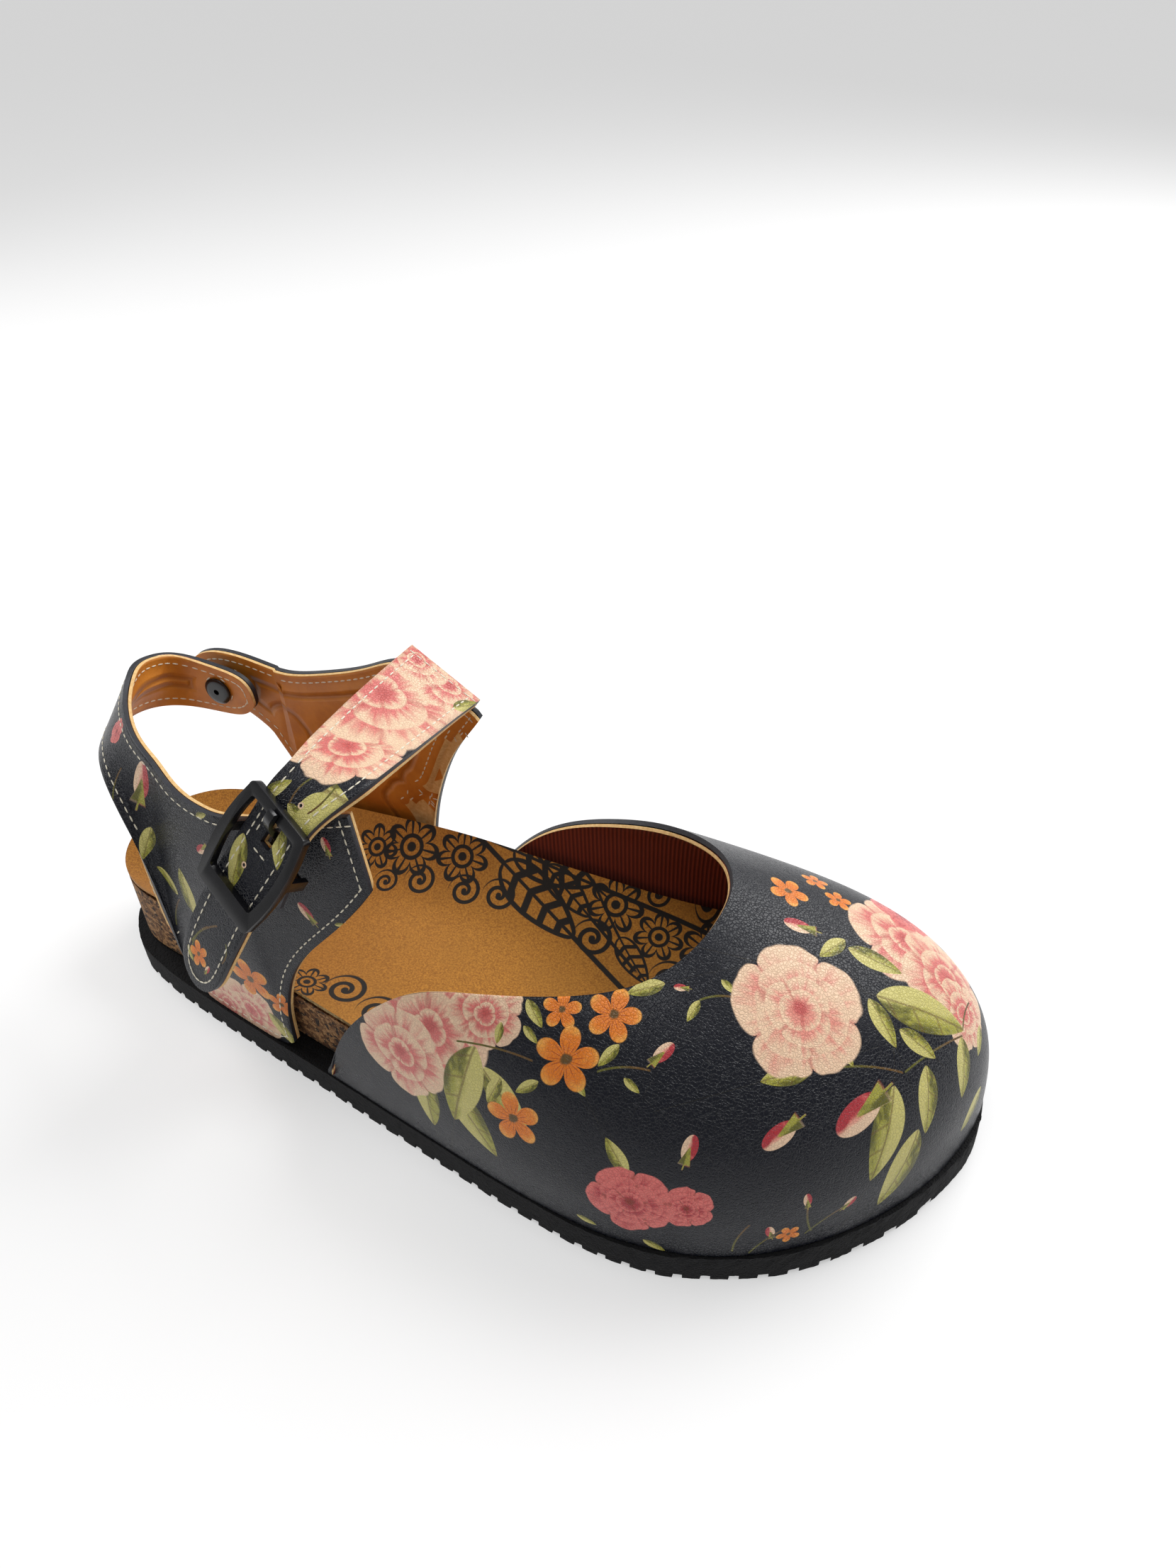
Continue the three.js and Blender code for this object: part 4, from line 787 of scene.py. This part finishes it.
# %% Outer quarter with the heel sling
OUTER_PRINT = [
    ("peony", (-60, -38, 16), (-50, -38, 22)), ("peony", (-70, -36, 12), (-62, -37, 16)),
    ("stem", (-84, -31, 34), (-78, -32, 47)), ("stem", (-95, -28, 72), (-94, -23, 79)),
    ("leaf", (-72, -34, 45), (-74, -32, 59)), ("leaf", (-78, -32, 48), (-85, -31, 54)),
    ("leaf", (-84, -28, 66), (-87, -31, 57)), ("leaf", (-52, -39, 20), (-44, -39, 10)),
    ("leaf", (-62, -32, 80), (-58, -32, 82)), ("leaf", (-23, -37, 63), (-20, -37, 64)),
    ("leaf", (-94, -28, 68), (-92, -29, 61)), ("blossom", (-55, -37, 31), (-49, -38, 35)),
    ("blossom", (-46, -38, 26), (-44, -38, 22)),
    ("bud", (-88, -28, 70), (-84, -24, 84)), ("bud", (-28, -37, 60), (-33, -36, 66)),
    ("bud", (-21, -36, 83), (-22, -35, 89)), ("bud", (-59, -34, 73), (-64, -33, 69)),
    ("deep", (-100, -15, 83), (-98, -17, 85)), ("leaf", (-113, -4, 84), (-110, -8, 78)),
    ("peony", (-112, 20, 79), (-110, 24, 84)), ("blossom", (-116, 8, 76), (-115, 12, 79)),
    ("leaf", (-106, 26, 68), (-98, 27, 72)), ("leaf", (-70, -34, 30), (-64, -36, 38)),
]
outer_quarter = soft_piece("outer_quarter", "outer_quarter_leather", "clog_body")
outer_quarter_finish = printed_leather("printed_outer_leather", OUTER_PRINT, surface_of(outer_quarter))
dress_and_slot(outer_quarter, "printed_leather", outer_quarter_finish, dark_edge)
outer_lining = soft_piece("outer_quarter_inside", "outer_quarter_lining", "clog_body")
dress_and_slot(outer_lining, "leather_lining", lining_leather, lining_edge)
outer_foam = soft_piece("outer_quarter_padding", "outer_quarter_foam", "clog_body")
dress_and_slot(outer_foam, "foam", foam, foam)

# %% [markdown]
# ## Inner quarter
# The same three layers, but the leather and the lining run on as the flap that the sling snaps to. Copies of
# quarter and flap are bridged into one sheet.

# %% Inner quarter with its flap
INNER_PRINT = [
    ("peony", (-55, 35, 24), (-43, 35, 32)), ("rose", (-70, 34, 48), (-61, 34, 54)),
    ("leaf", (-58, 34, 50), (-48, 33, 60)), ("leaf", (-76, 34, 36), (-84, 33, 44)),
    ("leaf", (-62, 35, 38), (-52, 35, 44)), ("blossom", (-44, 33, 56), (-39, 33, 60)),
    ("blossom", (-74, 34, 22), (-69, 34, 26)), ("bud", (-38, 32, 70), (-33, 29, 78)),
    ("stem", (-66, 34, 30), (-54, 34, 44)), ("bud", (-92, 33, 66), (-88, 33, 74)),
    ("deep", (-80, 33, 70), (-76, 33, 73)), ("leaf", (-96, 33, 62), (-90, 33, 58)),
    ("blossom", (-108, 33, 70), (-105, 33, 74)),
]
FLAP_START = (-0.0842, 0.031, 0.066)
FLAP_END = (-0.0892, 0.0318, 0.066)
inner_quarter = bridged_sheet("inner_quarter", "inner_quarter_leather", "sling_tab_leather", (-86, 31, 66),
                              FLAP_START, FLAP_END)
inner_quarter_finish = printed_leather("printed_inner_leather", INNER_PRINT, surface_of(inner_quarter))
dress_and_slot(inner_quarter, "printed_leather", inner_quarter_finish, dark_edge)
inner_lining = bridged_sheet("inner_quarter_inside", "inner_quarter_lining", "sling_tab_lining",
                             (-86, 30, 66), FLAP_START, FLAP_END)
dress_and_slot(inner_lining, "leather_lining", lining_leather, lining_edge)
inner_foam = soft_piece("inner_quarter_padding", "inner_quarter_foam", "clog_body")
dress_and_slot(inner_foam, "foam", foam, foam)

# %% [markdown]
# ## Instep strap
# A strap of leather and lining that comes over the instep and through the buckle. Its loose end, which lifts,
# is bridged to it in the same way.

# %% Instep strap and its loose end
STRAP_PRINT = [
    ("leaf", (-35, -37, 98), (-29, -33, 101)), ("leaf", (-20, -34, 101), (-26, -40, 96)),
    ("leaf", (-28, -37, 98), (-22, -40, 95)), ("leaf", (-14, -34, 101), (-22, -42, 93)),
    ("leaf", (-40, -44, 91), (-41, -50, 79)), ("leaf", (-29, -39, 95), (-28, -46, 86)),
    ("stem", (-18, -32, 102), (-22, -38, 97)), ("stem", (-24, -30, 102), (-28, -37, 98)),
    ("peony", (-24, -18, 103), (-13, -27, 101)), ("peony", (-29, 4, 101), (-16, -12, 97)),
    ("peony", (-22, 22, 93), (-16, 12, 93)), ("peony", (-31, 22, 98), (-24, 26, 94)),
    ("leaf", (-17, 15, 92), (-15, 24, 88)),
    ("stem", (-53, -53, 60), (-47, -51, 67)), ("stem", (-53, -52, 61), (-44, -52, 69)),
    ("leaf", (-54, -52, 59), (-52, -54, 56)), ("blossom", (-50, -54, 59), (-47, -54, 61)),
    ("stem", (-40, -54, 66), (-41, -56, 61)), ("bud", (-48, -56, 55), (-46, -56, 58)),
    ("pinhole", (-24.6, -37, 98.4), (-25.4, -37, 98.4)),
    ("pinhole", (-37.7, -44.7, 83.3), (-38.5, -44.7, 83.3)),
]
TIP_START = (-0.0400, -0.0488, 0.0764)
TIP_END = (-0.0416, -0.0503, 0.0737)
strap = bridged_sheet("instep_strap", "instep_strap_leather", "strap_tip_leather", (-41, -50, 75),
                      TIP_START, TIP_END)
strap_finish = printed_leather("printed_strap_leather", STRAP_PRINT, surface_of(strap))
dress_and_slot(strap, "printed_leather", strap_finish, dark_edge)
strap_lining = bridged_sheet("instep_strap_inside", "instep_strap_lining", "strap_tip_lining", (-40, -49, 75),
                             TIP_START, TIP_END)
dress_and_slot(strap_lining, "leather_lining", lining_leather, lining_edge)

# %% [markdown]
# ## Footbed
# Suede over jute over cork over jute. The suede carries a black pattern of flowers, scrolls and plumes along
# its inner side and a little of it on the outer one. The nap is a fine speckle of light and dark.

# %% Footbed print
INK = (0.010, 0.008, 0.006)


def ink(tree):
    return mixed(tree, 0.0, INK, INK)


def either(first, *others):
    """The greatest of several masks."""
    for other in others:
        first = first.math("MAXIMUM", other)
    return first


def lace(tree, place, u, v):
    radius, angle = polar(u, v)
    edge = (angle * 3.5).math("COSINE").size() ** 0.6 * 0.42 + 0.50
    outline = (radius - edge).size().under(0.070, 0.105)
    ring = (radius - 0.36).size().under(0.055, 0.085)
    spoke = (angle * 3.5).sin().size().under(0.16, 0.28) * radius.over(0.36, 0.40)
    spoke = spoke * (radius - edge).under(-0.02, 0.02)
    return ink(tree), either(outline, ring, spoke, radius.under(0.14, 0.18))


def scroll(tree, place, u, v):
    radius, angle = polar(u, v)
    turn = (radius * 1.9 - angle * 0.159).fraction()
    line = (turn - 0.5).size().under(0.18, 0.25) * radius.under(0.93, 1.0)
    return ink(tree), either(line, radius.under(0.13, 0.18))


def plume(tree, place, u, v):
    width = (u * u).flip().math("MAXIMUM", 0.0) ** 0.6 * (u * -0.3 + 0.9)
    inside = (v.size() - width).under(-0.02, 0.02)
    outline = (v.size() - width).size().under(0.09, 0.14)
    rib = ((v.size() * 0.5 - u * 2.4).fraction() - 0.5).size().under(0.16, 0.22) * inside
    spine = v.size().under(0.06, 0.10) * inside
    return ink(tree), either(outline, rib, spine)


BED_MOTIFS = {
    "lace": motif_group("bed_lace", lace),
    "scroll": motif_group("bed_scroll", scroll),
    "plume": motif_group("bed_plume", plume),
}
BED_PRINT = [
    ("lace", (-42, 24, 30), (-33, 25, 29)), ("lace", (-53, 21, 29), (-46, 21, 29)),
    ("scroll", (-36, 15, 27), (-31, 15, 27)), ("scroll", (-46, 12, 26), (-42, 12, 26)),
    ("scroll", (-56, 13, 27), (-52, 13, 27)), ("lace", (-26, 26, 30), (-18, 26, 29)),
    ("scroll", (-22, 16, 27), (-17, 16, 27)), ("scroll", (-12, 18, 27), (-7, 18, 26)),
    ("plume", (-14, 27, 30), (12, 15, 23)), ("plume", (-12, 32, 34), (12, 30, 30)),
    ("plume", (-2, 30, 31), (14, 22, 25)), ("lace", (20, 27, 27), (28, 28, 26)),
    ("scroll", (17, 17, 22), (23, 17, 22)), ("plume", (24, 20, 23), (36, 10, 20)),
    ("lace", (34, 24, 23), (41, 24, 22)), ("scroll", (41, 14, 20), (47, 14, 20)),
    ("lace", (48, 25, 23), (56, 26, 23)), ("scroll", (56, 16, 20), (61, 16, 20)),
    ("lace", (62, 26, 22), (69, 27, 22)), ("scroll", (30, 33, 29), (34, 34, 28)),
    ("scroll", (44, 36, 28), (48, 36, 28)),
    ("scroll", (-34, -27, 26), (-28, -26, 26)), ("scroll", (-22, -30, 26), (-16, -29, 26)),
    ("lace", (-8, -33, 25), (0, -32, 24)), ("scroll", (6, -30, 24), (11, -30, 24)),
    ("lace", (-44, -29, 28), (-38, -29, 28)),
]


def suede_finish(surface):
    material, tree, shader, place = new_finish("printed_suede", Roughness=0.92)
    nap = noise(tree, place, 1900, 4, 0.75)
    cloud = noise(tree, place, 60, 4, 0.6)
    colour = mixed(tree, nap.over(0.32, 0.68), (0.27, 0.10, 0.010), (0.54, 0.24, 0.030))
    colour = mixed(tree, cloud.over(0.35, 0.75) * 0.35, colour, (0.36, 0.16, 0.02))
    colour = printed(tree, place, colour, BED_PRINT, surface, BED_MOTIFS)
    feed(tree, shader.inputs["Base Color"], colour)
    feed(tree, shader.inputs["Normal"], bumped(tree, nap, 0.5, 0.0002))
    shader.inputs["Sheen Weight"].default_value = 0.15
    return material


# %% [markdown]
# ## The layers of the footbed
# The layers are copies of their nodes. Only their rims are kept sharp, so the heel comes out round.

# %% Footbed layers
BED_SHARP = math.radians(62)  # only the rims are sharp: the heel's corners are rounded
bed_cover = soft_piece("bed_cover", "suede_footbed_cover", "clog_body", 3, BED_SHARP)
dress_and_slot(bed_cover, "tan_suede", suede_finish(surface_of(bed_cover)), jute)
for node, name, finish, slot in (
    ("upper_jute_layer", "upper_jute", jute, "jute"), ("cork_footbed", "cork_body", cork, "cork"),
    ("lower_jute_layer", "lower_jute", jute, "jute"),
):
    layer = soft_piece(name, node, "clog_body", 3, BED_SHARP)
    dress_and_slot(layer, slot, finish, finish)

# %% [markdown]
# ## Outsole
# The sole is cut from a sheet of foamed rubber and ground round its edge, so the side is slightly rough and
# a little frayed at the toe. Its outline is taken from the node, smoothed, extruded in bands, and the
# grooves are cut with a Boolean.

# %% Outsole
TREAD_PITCH = 6 * MM
GROOVE_WIDTH = 2.2 * MM
GROOVE_DEPTH = 1.4 * MM
GROOVES = 40
SOLE_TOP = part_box("outsole")[1][2]


def sole_outline(count):
    """The outline of the sole's top, as evenly spaced points on a smooth closed curve."""
    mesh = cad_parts["outsole"].data
    places = {(round(v.co.x, 5), round(v.co.y, 5)) for v in mesh.vertices if v.co.z > SOLE_TOP - 0.1 * MM}
    hull = sorted(places, key=lambda p: math.atan2(p[1] + 0.004, p[0]))
    spine = [p for p in hull if -0.0845 < p[0] < 0.0705 and abs(p[1]) < 0.02]
    hull = [p for p in hull if p not in spine]
    points = [Vector((x, y, 0)) for x, y in hull]
    dense = []
    for i, p1 in enumerate(points):
        p0, p2, p3 = points[i - 1], points[(i + 1) % len(points)], points[(i + 2) % len(points)]
        for step in range(20):
            t = step / 20
            dense.append(0.5 * (2 * p1 + t * (p2 - p0) + t * t * (2 * p0 - 5 * p1 + 4 * p2 - p3)
                                + t ** 3 * (3 * p1 - p0 - 3 * p2 + p3)))
    lengths = [0.0]
    for a, b in zip(dense, dense[1:] + dense[:1]):
        lengths.append(lengths[-1] + (b - a).length)
    even = []
    k = 0
    for i in range(count):
        want = lengths[-1] * i / count
        while lengths[k + 1] < want:
            k += 1
        share = (want - lengths[k]) / max(lengths[k + 1] - lengths[k], 1e-9)
        even.append(dense[k].lerp(dense[(k + 1) % len(dense)], share))
    return even


OUTLINE = sole_outline(560)
print("outline length mm:", round(sum((a - b).length for a, b in zip(OUTLINE, OUTLINE[1:])) / MM))
bpy.ops.object.select_all(action="DESELECT")
bpy.ops.mesh.primitive_circle_add(vertices=len(OUTLINE), radius=0.1, fill_type="NGON", location=(0, 0, 0))
sole = bpy.context.active_object
sole.name = "ribbed_sole"
for vertex, place in zip(sole.data.vertices, OUTLINE):
    vertex.co = place
bpy.ops.object.mode_set(mode="EDIT")
bpy.ops.mesh.select_all(action="SELECT")
BANDS = (1.0 * MM, 1.0 * MM, 1.5 * MM, 1.6 * MM, 1.6 * MM, 1.2 * MM, 0.6 * MM)
for band in BANDS:
    bpy.ops.mesh.extrude_region_move(TRANSFORM_OT_translate={"value": (0, 0, band)})
bpy.ops.mesh.select_all(action="SELECT")
bpy.ops.mesh.normals_make_consistent(inside=False)
bpy.ops.object.mode_set(mode="OBJECT")

rough = random.Random(7)
middle = Vector((0, -0.004, 0))
for vertex in sole.data.vertices:
    toe = max(0.0, min(1.0, (vertex.co.x - 0.02) / 0.06))
    band = vertex.co.z / SOLE_TOP
    depth = 0.20 + 0.45 * toe * band
    away = (Vector((vertex.co.x, vertex.co.y, 0)) - middle).normalized()
    vertex.co -= away * abs(rough.gauss(0, 0.45)) * depth * MM

bpy.ops.object.select_all(action="DESELECT")
bpy.ops.mesh.primitive_cube_add(size=1, location=(0, 0, 0))
cutter = bpy.context.active_object
cutter.scale = (GROOVE_WIDTH, 0.16, GROOVE_DEPTH * 2)
cutter.location = (-(GROOVES - 1) / 2 * TREAD_PITCH, 0, 0)
bpy.ops.object.transform_apply(location=True, rotation=False, scale=True)
repeat = cutter.modifiers.new("repeat", "ARRAY")
repeat.use_relative_offset = False
repeat.use_constant_offset = True
repeat.constant_offset_displace = (TREAD_PITCH, 0, 0)
repeat.count = GROOVES
bpy.ops.object.modifier_apply(modifier=repeat.name)
grooves = sole.modifiers.new("grooves", "BOOLEAN")
grooves.operation = "DIFFERENCE"
grooves.solver = "EXACT"
grooves.object = cutter
activate(sole)
bpy.ops.object.modifier_apply(modifier=grooves.name)
bpy.data.objects.remove(cutter)
bpy.ops.object.shade_smooth_by_angle(angle=math.radians(40))
dress(sole, rubber)
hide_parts("outsole")
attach(sole, "clog_body")
print("sole faces:", len(sole.data.polygons))

# %% [markdown]
# ## Buckle, snaps and loop
# The buckle is cast and enamelled black, so its edges are rounded: a copy with a Bevel of its sharp edges.
# The snap's round parts are smoothed copies of turned shapes.

# %% Buckle and snaps
def enamelled(name, node, body, bevel):
    piece = welded_copy(name, node)
    activate(piece)
    round_off = piece.modifiers.new("round", "BEVEL")
    round_off.width = bevel
    round_off.segments = 3
    round_off.limit_method = "ANGLE"
    round_off.angle_limit = math.radians(40)
    bpy.ops.object.modifier_apply(modifier=round_off.name)
    bpy.ops.object.shade_smooth_by_angle(angle=math.radians(50))
    dress(piece, enamel)
    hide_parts(node)
    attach(piece, body)
    return piece


enamelled("buckle", "buckle_frame", "buckle", 0.55 * MM)
enamelled("prong", "buckle_prong", "prong", 0.35 * MM)
for node, name, body in (
    ("snap_eyelet", "eyelet", "clog_body"), ("snap_stud", "stud", "clog_body"),
    ("snap_socket", "socket", "sling_tab"), ("snap_cap", "cap", "sling_tab"),
):
    snap = soft_piece(name, node, body, 3, math.radians(55), rims=False)
    dress_and_slot(snap, "black_metal", enamel)
loop = soft_piece("buckle_loop", "buckle_keeper_loop", "clog_body", 2, math.radians(50))
loop_finish = mottled("loop_leather", (0.008, 0.010, 0.017), (0.016, 0.018, 0.028), 500, 0.45, 1300, 0.4)
dress_and_slot(loop, "printed_leather", loop_finish, dark_edge)

# %% [markdown]
# ## Stitches
# The seams run a little over two millimetres inside each edge, with a stitch every two and a half
# millimetres. One stitch is a small rounded bar. Its copies follow the border between the sheet's face and
# its cut edge.

# %% One stitch and the rows
FOOT = Vector((-45, -2, 62)) * MM
STITCH_PITCH = 2.5 * MM
SEAM_INSET = 2.3 * MM


def edge_runs(piece, outwards):
    """The borders between a sheet's face and its rim: runs of (point, direction into the sheet, normal)."""
    bm = bmesh.new()
    bm.from_mesh(piece.data)
    links = {}
    inner = {}
    for edge in bm.edges:
        faces = edge.link_faces
        if len(faces) != 2 or faces[0].material_index == faces[1].material_index:
            continue
        sheet = faces[0] if faces[0].material_index == 0 else faces[1]
        middle = (edge.verts[0].co + edge.verts[1].co) / 2
        if ((middle - FOOT).dot(sheet.normal) > 0) != outwards:
            continue
        along = (edge.verts[1].co - edge.verts[0].co).normalized()
        into = sheet.normal.cross(along)
        if into.dot(sheet.calc_center_median() - middle) < 0:
            into = -into
        for a, b in permutations(edge.verts):
            links.setdefault(a.index, []).append(b.index)
            inner.setdefault(a.index, []).append((into, sheet.normal.copy()))
    bm.verts.ensure_lookup_table()
    runs = []
    left = set(links)
    while left:
        start = next((i for i in sorted(left) if len(links[i]) == 1), min(left))
        run = [start]
        left.discard(start)
        while True:
            onward = [j for j in links[run[-1]] if j in left]
            if not onward:
                break
            run.append(onward[0])
            left.discard(onward[0])
        if run[0] in links[run[-1]] and len(run) > 2:
            run.append(run[0])
        rows = []
        for i in run:
            into = sum((pair[0] for pair in inner[i]), Vector()).normalized()
            normal = sum((pair[1] for pair in inner[i]), Vector()).normalized()
            rows.append((bm.verts[i].co.copy(), into, normal))
        runs.append(rows)
    bm.free()
    return [run for run in runs if len(run) > 12]


bpy.ops.object.select_all(action="DESELECT")
bpy.ops.mesh.primitive_uv_sphere_add(segments=8, ring_count=6, radius=1, location=(0, 0, 0))
stitch_model = bpy.context.active_object
STITCH_LIFT = 0.02 * MM
STITCH_HALF = Vector((0.95, 0.22, 0.13)) * MM
STITCH_POINTS = [Vector([c * s for c, s in zip(v.co, STITCH_HALF)]) for v in stitch_model.data.vertices]
STITCH_FACES = [list(p.vertices) for p in stitch_model.data.polygons]
bpy.data.objects.remove(stitch_model)


def seam(name, piece, outwards, keep, bodies):
    """Rows of stitches inside the edges of a sheet, wherever keep(point) is true."""
    surface = surface_of(piece)
    bm = bmesh.new()
    count = 0
    for run in edge_runs(piece, outwards):
        travelled = 0.0
        due = STITCH_PITCH / 2
        for (a, into_a, n_a), (b, into_b, n_b) in zip(run, run[1:]):
            length = (b - a).length
            while due <= travelled + length and length > 0:
                share = (due - travelled) / length
                due += STITCH_PITCH
                spot = a.lerp(b, share) + into_a.lerp(into_b, share).normalized() * SEAM_INSET
                if not keep(spot / MM):
                    continue
                hit, normal, _, gap = surface.find_nearest(spot)
                if gap > 1.2 * MM or normal.dot(n_a) < 0.3:
                    continue
                along = (b - a).normalized()
                along = (along - along.dot(normal) * normal).normalized()
                side = normal.cross(along)
                turn = Matrix((along, side, normal)).transposed()
                base = [bm.verts.new(hit + normal * STITCH_LIFT + turn @ p) for p in STITCH_POINTS]
                for face in STITCH_FACES:
                    bm.faces.new([base[i] for i in face])
                count += 1
            travelled += length
    piece_row = new_piece(name, bm)
    for polygon in piece_row.data.polygons:
        polygon.use_smooth = True
    dress(piece_row, thread)
    if len(bodies) == 1:
        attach(piece_row, bodies[0])
    else:
        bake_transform(piece_row)
    print(name, count, "stitches")
    return piece_row


FLAP = ("clog_body", "sling_tab", FLAP_START, FLAP_END)
TIP = ("clog_body", "strap_tip", TIP_START, TIP_END)
seam("outer_seam", outer_quarter, True, lambda p: p.z > 11, ("clog_body",))
seam("outer_inside_seam", outer_lining, False, lambda p: p.z > 40, ("clog_body",))
seam("inner_seam", inner_quarter, True, lambda p: p.z > 11, FLAP)
seam("inner_inside_seam", inner_lining, False, lambda p: p.z > 40, FLAP)
seam("strap_seam", strap, True, lambda p: p.y < 24, TIP)
seam("strap_inside_seam", strap_lining, False, lambda p: p.y < 24, TIP)
